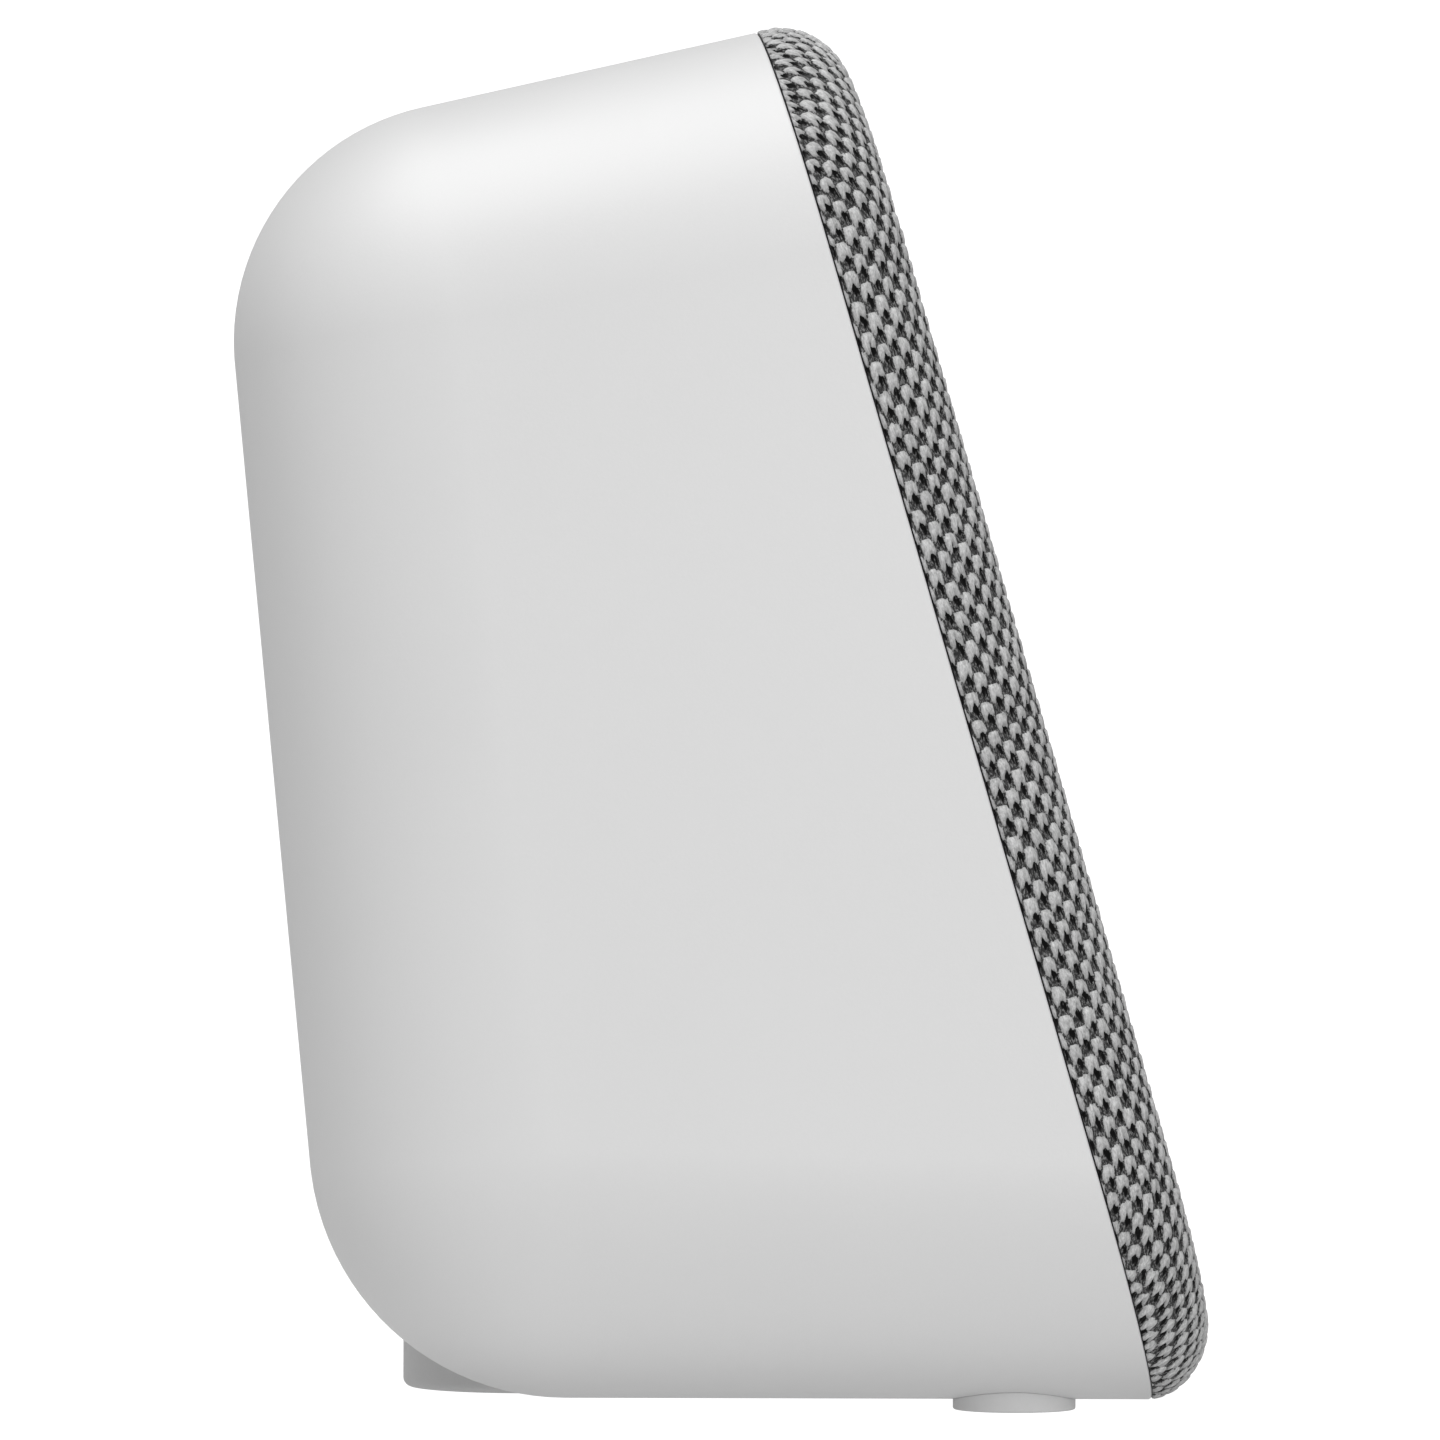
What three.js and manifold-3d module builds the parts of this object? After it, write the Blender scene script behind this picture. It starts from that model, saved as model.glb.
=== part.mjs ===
// A table-top smart speaker: a white rounded cabinet whose leaning front is closed by a baffle and
// a knit-covered grille. Millimetres, +Z up, the front looks along -Y, and the origin is on the
// table, under the middle of the whole object.
import * as THREE from "three";
import { ConvexGeometry } from "three/addons/geometries/ConvexGeometry.js";
import { mergeVertices } from "three/addons/utils/BufferGeometryUtils.js";
import Module from "manifold-3d";

// ---- Driving dimensions: the cabinet --------------------------------------------------------
const WIDTH = 158; // across the front rim
const RIM_LENGTH = 186.1; // the front rim, from its lowest to its highest edge, along its lean
const BASE_DEPTH = 106.9; // along the underside, from the rim to the rear face's own plane
const FRONT_LEAN = 16.04; // the front leans back from upright, in degrees
const REAR_LEAN = 5.42; // and the rear face leans the same way
const TOP_SLOPE = 12.6; // the top falls towards the rear
const SIDE_DRAFT = 2; // each side closes in towards the rear
const RIM_CORNER = 33; // corner radius of the front rim
const REAR_CORNER = { upper: 31.5, lower: 33.7 }; // ball radii of the rear corners and edges
const WALL = 2.4;
const GAP = 0.3; // left between pieces that touch
const BALL_STEPS = 6; // facets in a quarter turn of a rear corner
const RIM_STEPS = 4; // half the facets in a quarter turn of the rim
const ROUND = 24; // facets round the driver, the radiator and what fits them

// ---- Driving dimensions: feet ---------------------------------------------------------------
const FOOT_HEIGHT = 1.25; // table to underside
const FRONT_FOOT = { radius: 8, x: 47, behindRim: 17.75, edge: 0.3 };
const REAR_FOOT = { radius: 18, x: 0, behindRim: 81.7, edge: 1.2 };
const SPIGOT_RADIUS = 2.5; // the plug that holds a foot in the underside
const SPIGOT_LENGTH = 3.4;

// ---- Driving dimensions: front --------------------------------------------------------------
const GRILLE_DEPTH = 10; // the knit front stands this far out of the rim
const GRILLE_EDGE = 10; // and turns back over this radius
const KNIT = 1.2;
const GRILLE_WALL = 1.8;
const SLOT = { height: 6.4, pitch: 11, margin: 16, spine: 7 };
const BAFFLE = { front: -1.5, back: -5, play: 0.4 };
const LEDGE = { width: 3.5, front: -6.2, back: -8.2 };
const SCREW = { shank: 1.4, head: 2.8, headHeight: 1.6, length: 12, inset: 6.6 };
const SCREW_SHARES = [0.22, 0.5, 0.78]; // up each side of the rim
const GRILLE_PEG = { radius: 2, margin: 2, end: -4.6 };
const PEG_SHARES = [0.36, 0.64];

// ---- Driving dimensions: driver and passive radiator ----------------------------------------
const DRIVER = { flange: 36, edge: 23, land: 6.7, roll: 5, coil: 10.4, pole: 9.2, magnet: 25 };
const FLANGE = { back: -1.2, front: 0.6 };
const DRIVER_SCREW_CIRCLE = 33.2;
const UNIT_SPACE = 2; // between the driver, the radiator and the light strip
const RADIATOR_ROLL = 9;

// ---- Driving dimensions: controls, boards and sockets ---------------------------------------
const BUTTON = { radius: 6.2, pitch: 20, fromRim: 22, proud: 0.3, skirt: 1.4, travel: 0.5 };
const CONTROL_BOARD = { margin: 8, length: 20, top: -11.3, thick: 1.2, fromRim: 24 };
const MICROPHONE = { boot: 2.6, hole: 0.8 };
const LIGHTS = { count: 4, pitch: 10, radius: 1.5, fromTop: 10.3, stripHeight: 6 };
const PORTS = { width: 48, height: 17, depth: 8, up: 17, wall: 1.2, corner: 3, flange: 2.5 };
const IO_BOARD = { width: 52, height: 21, thick: 1.6, behind: 13 };
const MAIN_BOARD = { sideMargin: 26, low: 36, high: 10, stand: 14.4, thick: 1.6, post: 5 };
const MUTE = { fromHead: 20, slotHeight: 4, knob: 5.4, travel: 3, dish: 1, dishMargin: 4 };
const KEY_SWITCH = { side: 6, body: 3.2, stem: 1.7, height: 3.8 };
const CAPACITOR = { radius: 5, height: 12, bead: 0.3 };
const SINK = { width: 26, height: 11, base: 2.2, fins: 6, fin: 1.2 };
const SHIELD = { width: 30, height: 3 };

const radians = THREE.MathUtils.degToRad;
const lean = radians(FRONT_LEAN);
const wasm = await Module();
wasm.setup();

// ---- Frames: each is x across, y along the face and z out of it ------------------------------
function frame(origin, x, y) {
  const across = new THREE.Vector3(...x);
  const along = new THREE.Vector3(...y);
  const out = across.clone().cross(along);
  return new THREE.Matrix4().makeBasis(across, along, out).setPosition(...origin);
}

// A plane of the cabinet seen from the side: a point and the outward normal, as (y, z).
const rimTop = [RIM_LENGTH * Math.sin(lean), FOOT_HEIGHT + RIM_LENGTH * Math.cos(lean)];
const topPlane = { point: rimTop, normal: [Math.sin(radians(TOP_SLOPE)), Math.cos(radians(TOP_SLOPE))] };
const rearPlane = {
  point: [BASE_DEPTH, FOOT_HEIGHT],
  normal: [Math.cos(radians(REAR_LEAN)), -Math.sin(radians(REAR_LEAN))],
};
const underPlane = { point: [0, FOOT_HEIGHT], normal: [0, -1] };

// The centre, as (y, z), of a circle of that radius that touches two planes from inside.
function centreBetween(a, b, radius) {
  const [ay, az] = a.normal;
  const [by, bz] = b.normal;
  const da = ay * a.point[0] + az * a.point[1] - radius;
  const db = by * b.point[0] + bz * b.point[1] - radius;
  const det = ay * bz - az * by;
  return [(da * bz - az * db) / det, (ay * db - da * by) / det];
}
const upperCentre = centreBetween(topPlane, rearPlane, REAR_CORNER.upper);
const lowerCentre = centreBetween(rearPlane, underPlane, REAR_CORNER.lower);
const rearFoot = lowerCentre.map((v, i) => v + REAR_CORNER.lower * rearPlane.normal[i]);
const rearHead = upperCentre.map((v, i) => v + REAR_CORNER.upper * rearPlane.normal[i]);
const REAR_FLAT = Math.hypot(rearHead[0] - rearFoot[0], rearHead[1] - rearFoot[1]);

const rimFrame = frame([0, 0, FOOT_HEIGHT], [1, 0, 0], [0, Math.sin(lean), Math.cos(lean)]);
const topFrame = frame([0, ...rimTop], [1, 0, 0], [0, topPlane.normal[1], -topPlane.normal[0]]);
const rearFrame = frame([0, ...rearFoot], [-1, 0, 0], [0, -rearPlane.normal[1], rearPlane.normal[0]]);

// ---- Solids ---------------------------------------------------------------------------------
function solid(shape) {
  if (shape instanceof wasm.Manifold) return shape;
  const bare = shape.clone();
  bare.deleteAttribute("normal");
  bare.deleteAttribute("uv");
  const merged = mergeVertices(bare, 1e-4);
  return new wasm.Manifold(
    new wasm.Mesh({
      numProp: 3,
      vertProperties: merged.attributes.position.array,
      triVerts: new Uint32Array(merged.index.array),
    }),
  );
}
const join = (...shapes) => shapes.map(solid).reduce((a, b) => a.add(b));
const cut = (base, ...tools) => tools.reduce((a, tool) => a.subtract(solid(tool)), solid(base));
const common = (a, b) => solid(a).intersect(solid(b));
const inFrame = (geometry, matrix) => geometry.clone().applyMatrix4(matrix);

function geometryOf(shape) {
  if (!(shape instanceof wasm.Manifold)) return shape;
  const mesh = shape.getMesh();
  const geometry = new THREE.BufferGeometry();
  geometry.setAttribute("position", new THREE.BufferAttribute(mesh.vertProperties, 3));
  geometry.setIndex(new THREE.BufferAttribute(mesh.triVerts, 1));
  geometry.computeVertexNormals();
  return geometry;
}

// A box and a round bar from z0 to z1, and a turned piece from a closed (radius, z) profile.
const block = (w, h, z0, z1, x = 0, y = 0) =>
  new THREE.BoxGeometry(w, h, z1 - z0).translate(x, y, (z0 + z1) / 2);
const bar = (r, z0, z1, x = 0, y = 0, sides = 16) =>
  new THREE.CylinderGeometry(r, r, z1 - z0, sides).rotateX(Math.PI / 2).translate(x, y, (z0 + z1) / 2);

function turned(profile, x = 0, y = 0, sides = 32) {
  const points = profile.map(([r, z]) => new THREE.Vector2(r, z));
  if (THREE.ShapeUtils.area(points) < 0) points.reverse();
  const onAxis = points.filter((p) => p.x === 0).length;
  if (onAxis === 0) points.push(points[0].clone());
  else while (points[0].x !== 0 || points[points.length - 1].x !== 0) points.push(points.shift());
  return new THREE.LatheGeometry(points, sides).rotateX(Math.PI / 2).translate(x, y, 0);
}

// An upright rounded rectangle about (x, y), as the outline or as a hole in one.
function roundedRectangle(width, height, radius, x = 0, y = 0, path = new THREE.Shape()) {
  const w = width / 2 - radius;
  const h = height / 2 - radius;
  path.moveTo(x + w, y - h - radius);
  path.absarc(x + w, y - h, radius, -Math.PI / 2, 0);
  path.absarc(x + w, y + h, radius, 0, Math.PI / 2);
  path.absarc(x - w, y + h, radius, Math.PI / 2, Math.PI);
  path.absarc(x - w, y - h, radius, Math.PI, Math.PI * 1.5);
  path.closePath();
  return path;
}
const rim = (inset, path) =>
  roundedRectangle(
    WIDTH - 2 * inset,
    RIM_LENGTH - 2 * inset,
    RIM_CORNER - inset,
    0,
    RIM_LENGTH / 2,
    path,
  );
const slab = (shape, z0, z1, steps = RIM_STEPS) =>
  new THREE.ExtrudeGeometry(shape, { depth: z1 - z0, bevelEnabled: false, curveSegments: steps }).translate(
    0,
    0,
    z0,
  );

// A plate with the rim's outline whose front edge is rounded over.
function pillow(inset, back, front, edge) {
  const geometry = new THREE.ExtrudeGeometry(rim(inset), {
    depth: front - edge - back + GAP,
    bevelThickness: edge,
    bevelSize: edge,
    bevelOffset: -edge,
    bevelSegments: 4,
    curveSegments: RIM_STEPS,
  });
  geometry.translate(0, 0, back - GAP);
  return cut(geometry, block(2 * WIDTH, 3 * RIM_LENGTH, back - 2 * edge - 2, back));
}

// ---- The cabinet's own shape: the rim drawn back to four balls -------------------------------
function between(a, b, share) {
  const angle = a.angleTo(b);
  const from = a.clone().multiplyScalar(Math.sin((1 - share) * angle));
  return from.addScaledVector(b, Math.sin(share * angle)).divideScalar(Math.sin(angle));
}

function cabinetForm(inset) {
  const points = rim(inset)
    .getPoints(RIM_STEPS)
    .map((p) => new THREE.Vector3(p.x, p.y, 0).applyMatrix4(rimFrame));
  const draft = radians(SIDE_DRAFT);
  const rimOut = new THREE.Vector3(0, -Math.cos(lean), Math.sin(lean));
  const corners = [
    { centre: upperCentre, radius: REAR_CORNER.upper, from: topPlane, to: rearPlane },
    { centre: lowerCentre, radius: REAR_CORNER.lower, from: rearPlane, to: underPlane },
  ];
  for (const { centre, radius, from, to } of corners) {
    const middle = new THREE.Vector3(0, ...centre);
    const behind = middle.clone().sub(new THREE.Vector3(0, 0, FOOT_HEIGHT)).dot(rimOut);
    const reach = WIDTH / 2 + Math.tan(draft) * behind - radius / Math.cos(draft);
    for (const side of [-1, 1]) {
      const ball = new THREE.Vector3(side * reach, ...centre);
      const sideways = new THREE.Vector3(side * Math.cos(draft), 0, 0);
      const sideOut = sideways.addScaledVector(rimOut, -Math.sin(draft));
      for (let i = 0; i <= BALL_STEPS; i++) {
        const edge = between(
          new THREE.Vector3(0, ...from.normal),
          new THREE.Vector3(0, ...to.normal),
          i / BALL_STEPS,
        );
        for (let j = 0; j <= BALL_STEPS; j++) {
          const out = between(edge, sideOut, j / BALL_STEPS);
          points.push(ball.clone().addScaledVector(out, radius - inset));
        }
      }
    }
  }
  return solid(new ConvexGeometry(points));
}

const outerForm = cabinetForm(0);
const innerForm = cabinetForm(WALL);
const clearForm = cabinetForm(-GAP);
const ledgeForm = cabinetForm(WALL + LEDGE.width);
const baffleForm = cabinetForm(WALL + BAFFLE.play);
const seenFromRim = (form) => form.transform(rimFrame.clone().invert().elements);

// ---- Materials ------------------------------------------------------------------------------
const finish = (color, roughness, metalness = 0) =>
  new THREE.MeshStandardMaterial({ color, roughness, metalness });
const white = finish(0xe6e6e6, 0.5);
const footRubber = finish(0xbdbdbd, 0.8);
const knit = finish(0xa9a9a9, 0.95);
const black = finish(0x1b1c1e, 0.6);
const foam = finish(0x2a2a2a, 0.95);
const rubber = finish(0x18181a, 0.8);
const paper = finish(0x2c2d30, 0.85);
const steel = finish(0xb9bcc0, 0.35, 1);
const zincScrew = finish(0x9da1a6, 0.4, 1);
const ferrite = finish(0x3b3c3f, 0.75);
const cloth = finish(0xb5833c, 0.9);
const copper = finish(0xb4683a, 0.4, 1);
const circuit = finish(0x1c5a3a, 0.5);
const aluminium = finish(0xc3c6ca, 0.35, 1);
const lightGuide = finish(0xe9edf0, 0.25);
const capacitorSleeve = finish(0x23262e, 0.45);
const ribbon = finish(0xdfe2e6, 0.5);
const wire = finish(0x8e2320, 0.55);
const keypad = finish(0xd9d9d9, 0.6);

// ---- The assembly ---------------------------------------------------------------------------
const speaker = new THREE.Group();
const front = new THREE.Group();
const top = new THREE.Group();
const rear = new THREE.Group();
front.applyMatrix4(rimFrame);
top.applyMatrix4(topFrame);
rear.applyMatrix4(rearFrame);
speaker.add(front, top, rear);

function piece(name, shape, material, parent = speaker) {
  const mesh = new THREE.Mesh(geometryOf(shape), material);
  mesh.name = name;
  parent.add(mesh);
  return mesh;
}

// ---- Places that several pieces share -------------------------------------------------------
const halfRim = WIDTH / 2;
const driverUp = DRIVER.edge + DRIVER.flange;
const lightsUp = RIM_LENGTH - LIGHTS.fromTop;
const radiatorLow = driverUp + DRIVER.flange + UNIT_SPACE;
const radiatorHigh = lightsUp - LIGHTS.stripHeight / 2 - UNIT_SPACE;
const radiatorUp = (radiatorLow + radiatorHigh) / 2;
const radiatorFlange = (radiatorHigh - radiatorLow) / 2;
const spread = (count, pitch) => Array.from({ length: count }, (_, i) => (i - (count - 1) / 2) * pitch);
const lightPlaces = spread(LIGHTS.count, LIGHTS.pitch);
const buttonNames = ["volume_down", "play", "action", "volume_up"];
const buttonPlaces = spread(buttonNames.length, BUTTON.pitch);
const baffleScrewPlaces = [-1, 1].flatMap((side) =>
  SCREW_SHARES.map((share) => [side * (halfRim - SCREW.inset), share * RIM_LENGTH]),
);
const pegInset = WALL + BAFFLE.play + GAP + GRILLE_PEG.radius + GRILLE_PEG.margin;
const pegLow = pegInset + Math.abs(BAFFLE.back) * Math.tan(lean);
const pegPlaces = [-1, 1].flatMap((side) => [
  ...PEG_SHARES.map((share) => [side * (halfRim - pegInset), share * RIM_LENGTH]),
  [side * (halfRim - RIM_CORNER), pegLow],
  [side * (halfRim - RIM_CORNER), RIM_LENGTH - pegLow],
]);
const driverScrewPlaces = [0, 1, 2, 3].map((i) => {
  const turn = Math.PI / 4 + (i * Math.PI) / 2;
  return [DRIVER_SCREW_CIRCLE * Math.cos(turn), driverUp + DRIVER_SCREW_CIRCLE * Math.sin(turn)];
});
const footPlaces = [
  { ...FRONT_FOOT, name: "front_foot_left", x: -FRONT_FOOT.x },
  { ...FRONT_FOOT, name: "front_foot_right" },
  { ...REAR_FOOT, name: "rear_foot" },
];
const mainBoardLow = MAIN_BOARD.low;
const mainBoardHigh = REAR_FLAT - MAIN_BOARD.high;
const mainBoardWidth = WIDTH - 2 * MAIN_BOARD.sideMargin;
const mainBoardUp = (mainBoardLow + mainBoardHigh) / 2;
const mainBoardPosts = [-1, 1].flatMap((side) =>
  [mainBoardLow + MAIN_BOARD.post, mainBoardHigh - MAIN_BOARD.post].map((up) => [
    side * (mainBoardWidth / 2 - MAIN_BOARD.post),
    up,
  ]),
);
const muteUp = REAR_FLAT - MUTE.fromHead;
const muteSlotWidth = MUTE.knob + MUTE.travel + 4 * GAP;
const STAKE = { post: 2.4, pin: 1.1, past: 1.4, fromEdge: 3.5 };
const controlNear = CONTROL_BOARD.fromRim - CONTROL_BOARD.length / 2;
const controlFar = CONTROL_BOARD.fromRim + CONTROL_BOARD.length / 2;
const lastButton = buttonPlaces[buttonPlaces.length - 1];
const buttonSkirt = BUTTON.radius + BUTTON.skirt;
// A post between two keys stands at least this far from their line, clear of both skirts.
const postClear = buttonSkirt + STAKE.post + GAP;
const besideKeys = Math.sqrt(Math.max(postClear ** 2 - (BUTTON.pitch / 2) ** 2, 0));
const farPost = Math.max(controlFar - STAKE.fromEdge, BUTTON.fromRim + besideKeys);
const controlPosts = [
  [-BUTTON.pitch, farPost],
  [BUTTON.pitch, farPost],
  [0, Math.min(controlNear + STAKE.fromEdge, BUTTON.fromRim - besideKeys)],
];
const microphoneX = lastButton + buttonSkirt + 1 + MICROPHONE.boot;
const controlWidth = 2 * (lastButton + buttonSkirt + CONTROL_BOARD.margin);

// ---- Housing: one white shell, with its ledge, screw bosses and board posts ------------------
function stakedPost(matrix, [x, y], boardTop, thick) {
  return [
    inFrame(bar(STAKE.post, boardTop + GAP, -WALL / 2, x, y, 12), matrix),
    inFrame(bar(STAKE.pin, boardTop - thick - STAKE.past, boardTop + 1, x, y, 10), matrix),
  ];
}

function housing() {
  const mouth = inFrame(slab(rim(WALL), -GAP, 2), rimFrame);
  const ledgeBand = inFrame(block(2 * WIDTH, 3 * RIM_LENGTH, LEDGE.back, LEDGE.front), rimFrame);
  const inside = [cut(ledgeBand, ledgeForm)];
  const boss = SCREW.inset - WALL + GAP;
  for (const [x, y] of baffleScrewPlaces) {
    inside.push(inFrame(bar(boss, BAFFLE.back - SCREW.length - 2, LEDGE.front, x, y, 12), rimFrame));
  }
  for (const place of controlPosts) {
    inside.push(...stakedPost(topFrame, place, CONTROL_BOARD.top, CONTROL_BOARD.thick));
  }
  for (const place of mainBoardPosts) {
    inside.push(...stakedPost(rearFrame, place, -MAIN_BOARD.stand, MAIN_BOARD.thick));
  }
  const holes = baffleScrewPlaces.map(([x, y]) =>
    inFrame(bar(SCREW.shank + GAP, BAFFLE.back - SCREW.length, 0, x, y, 8), rimFrame),
  );
  for (const foot of footPlaces) {
    holes.push(bar(SPIGOT_RADIUS + GAP, 0, FOOT_HEIGHT + 3 * WALL, foot.x, foot.behindRim, 12));
  }
  for (const x of buttonPlaces) {
    holes.push(inFrame(bar(BUTTON.radius + GAP, -2 * WALL, WALL, x, BUTTON.fromRim, 20), topFrame));
  }
  for (const side of [-1, 1]) {
    const x = side * microphoneX;
    holes.push(inFrame(bar(MICROPHONE.hole, -2 * WALL, WALL, x, BUTTON.fromRim, 8), topFrame));
  }
  const portHole = roundedRectangle(PORTS.width, PORTS.height, PORTS.corner, 0, PORTS.up);
  const muteSlot = roundedRectangle(muteSlotWidth, MUTE.slotHeight, 1.2, 0, muteUp);
  const dishWidth = muteSlotWidth + 2 * MUTE.dishMargin;
  const muteDish = roundedRectangle(dishWidth, 2 * MUTE.slotHeight, 3.4, 0, muteUp);
  holes.push(inFrame(slab(portHole, -2 * WALL, WALL, 3), rearFrame));
  holes.push(inFrame(slab(muteSlot, -2 * WALL, WALL, 2), rearFrame));
  holes.push(inFrame(slab(muteDish, -MUTE.dish, WALL, 3), rearFrame));
  const shell = cut(outerForm, innerForm, mouth);
  return cut(join(shell, common(join(...inside), outerForm)), ...holes);
}
piece("housing", housing(), white);

// ---- Feet: rubber pucks that follow the underside and plug into it ---------------------------
for (const { name, x, behindRim: y, radius, edge } of footPlaces) {
  const puck = turned(
    [
      [0, 0],
      [radius - edge, 0],
      [radius - edge * 0.3, edge * 0.3],
      [radius, edge],
      [radius, FOOT_HEIGHT + radius],
      [0, FOOT_HEIGHT + radius],
    ],
    x,
    y,
    24,
  );
  const spigot = bar(SPIGOT_RADIUS, FOOT_HEIGHT / 2, FOOT_HEIGHT + WALL + SPIGOT_LENGTH, x, y, 12);
  piece(name, join(cut(puck, clearForm), spigot), footRubber);
}

// ---- Front baffle and its seal --------------------------------------------------------------
function baffle() {
  const band = block(2 * WIDTH, 3 * RIM_LENGTH, BAFFLE.back, BAFFLE.front);
  const plate = common(band, seenFromRim(baffleForm));
  const deep = BAFFLE.back - 1;
  const holes = [
    bar(DRIVER.flange - DRIVER.land + 1.5, deep, 0, 0, driverUp, ROUND),
    bar(radiatorFlange - DRIVER.land + 1.5, deep, 0, 0, radiatorUp, ROUND),
  ];
  for (const [x, y] of baffleScrewPlaces) {
    holes.push(bar(SCREW.shank + GAP, deep, 0, x, y, 8));
    holes.push(bar(SCREW.head + GAP, BAFFLE.front - SCREW.headHeight - GAP, 0, x, y, 12));
  }
  for (const [x, y] of pegPlaces) holes.push(bar(GRILLE_PEG.radius + GAP, deep, 0, x, y, 10));
  for (const [x, y] of driverScrewPlaces) holes.push(bar(SCREW.shank + GAP, deep, 0, x, y, 8));
  for (const x of lightPlaces) holes.push(bar(LIGHTS.radius + GAP, deep, 0, x, lightsUp, 12));
  return cut(plate, ...holes);
}
piece("front_baffle", baffle(), black, front);

function seal() {
  const band = block(2 * WIDTH, 3 * RIM_LENGTH, LEDGE.front + GAP, BAFFLE.back - GAP);
  const strip = cut(common(band, seenFromRim(baffleForm)), seenFromRim(ledgeForm));
  const notches = baffleScrewPlaces.map(([x, y]) =>
    bar(SCREW.shank + GAP, LEDGE.back, BAFFLE.front, x, y, 8),
  );
  return cut(strip, ...notches);
}
piece("baffle_seal", seal(), foam, front);

// A pan-head screw along z whose head stands on z = seat, with a cross recess.
function screw(x, y, seat, length) {
  const { shank, head, headHeight } = SCREW;
  const body = turned(
    [
      [0, seat - length],
      [shank, seat - length + shank],
      [shank, seat],
      [head, seat],
      [head * 0.8, seat + headHeight],
      [0, seat + headHeight],
    ],
    x,
    y,
    10,
  );
  const high = seat + headHeight + 1;
  const low = seat + headHeight / 2;
  return cut(body, join(block(head, 0.7, low, high, x, y), block(0.7, head, low, high, x, y)));
}
const baffleSeat = BAFFLE.front - SCREW.headHeight;
baffleScrewPlaces.forEach(([x, y], i) =>
  piece(`baffle_screw_${i + 1}`, screw(x, y, baffleSeat, SCREW.length), zincScrew, front),
);

// ---- Grille: a slotted tray with pegs, and the knit stretched over it -----------------------
function grilleFrame() {
  const inset = KNIT + GAP;
  const inner = GRILLE_DEPTH - KNIT - GAP - GRILLE_WALL;
  const tray = cut(
    pillow(inset, GAP, GRILLE_DEPTH - inset, GRILLE_EDGE - inset),
    pillow(inset + GRILLE_WALL, 0, inner, GRILLE_EDGE - inset - GRILLE_WALL),
  );
  const half = halfRim - SLOT.margin;
  const slotWidth = half - SLOT.spine / 2;
  const rows = Math.floor((RIM_LENGTH - 2 * SLOT.margin) / SLOT.pitch);
  const slots = [];
  for (let row = 0; row < rows; row++) {
    const y = RIM_LENGTH / 2 + (row - (rows - 1) / 2) * SLOT.pitch;
    for (const side of [-1, 1]) {
      const x = (side * (half + SLOT.spine / 2)) / 2;
      slots.push(block(slotWidth, SLOT.height, inner - 1, GRILLE_DEPTH, x, y));
    }
  }
  const pegs = pegPlaces.map(([x, y]) => bar(GRILLE_PEG.radius, GRILLE_PEG.end, inner + GAP, x, y, 10));
  return join(cut(tray, ...slots), ...pegs);
}
piece("grille_frame", grilleFrame(), black, front);
piece(
  "grille_fabric",
  cut(pillow(0, GAP, GRILLE_DEPTH, GRILLE_EDGE), pillow(KNIT, 0, GRILLE_DEPTH - KNIT, GRILLE_EDGE - KNIT)),
  knit,
  front,
);

// ---- Full-range driver ----------------------------------------------------------------------
const rollOuter = DRIVER.flange - DRIVER.land;
const coneEdge = rollOuter - GAP - DRIVER.roll;
const CONE = { rim: -2, neck: -14, skin: 0.8 };
const BASKET = { floor: -20, floorThick: 1.8, foot: 20 };
const magnetTop = BASKET.floor - BASKET.floorThick - GAP;
const TOP_PLATE = { thick: 4, radius: 22 };
const magnetFront = magnetTop - TOP_PLATE.thick - GAP;
const MAGNET_THICK = 12;
const yokeFront = magnetFront - MAGNET_THICK - GAP;
const YOKE_THICK = 4.2;
const coilInner = DRIVER.coil - 0.7;

function basket() {
  const skirt = rollOuter + 0.8;
  const body = turned(
    [
      [rollOuter, FLANGE.front],
      [DRIVER.flange, FLANGE.front],
      [DRIVER.flange, FLANGE.back],
      [skirt, FLANGE.back],
      [skirt, BAFFLE.back - 1],
      [BASKET.foot + 1.4, BASKET.floor - BASKET.floorThick],
      [DRIVER.coil + 1.4, BASKET.floor - BASKET.floorThick],
      [DRIVER.coil + 1.4, BASKET.floor],
      [BASKET.foot, BASKET.floor],
      [rollOuter - 0.6, BAFFLE.back - 1],
    ],
    0,
    driverUp,
    ROUND,
  );
  const windows = [0, Math.PI / 2].map((turn) =>
    block(skirt * 1.05, skirt * 3, BASKET.floor + 1.5, BAFFLE.back - 3)
      .rotateZ(turn)
      .translate(0, driverUp, 0),
  );
  const screws = driverScrewPlaces.map(([x, y]) => bar(SCREW.shank + GAP, -4, 4, x, y, 10));
  return cut(body, ...windows, ...screws);
}
piece("driver_basket", basket(), black, front);
driverScrewPlaces.forEach(([x, y], i) =>
  piece(`driver_screw_${i + 1}`, screw(x, y, FLANGE.front + GAP, 7), zincScrew, front),
);

// A roll surround between two radii, as a thin half tube with a flat foot on each side.
function rollSurround(inner, outer, base, x, y, sides) {
  const skin = 0.6;
  const foot = 0.8;
  const middle = (inner + outer) / 2;
  const radius = (outer - inner) / 2 - foot;
  const arc = (r) =>
    Array.from({ length: 6 }, (_, i) => {
      const turn = (i / 5) * Math.PI;
      return [middle - r * Math.cos(turn), base + r * Math.sin(turn)];
    });
  const over = [[inner, base], ...arc(radius), [outer, base]];
  const under = arc(radius - skin).reverse();
  const below = [[outer, base - skin], ...under.map(([r, z]) => [r, z - skin]), [inner, base - skin]];
  return turned([...over, ...below], x, y, sides);
}
piece(
  "driver_surround",
  rollSurround(coneEdge + GAP, rollOuter - GAP, CONE.rim, 0, driverUp, ROUND),
  rubber,
  front,
);

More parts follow.
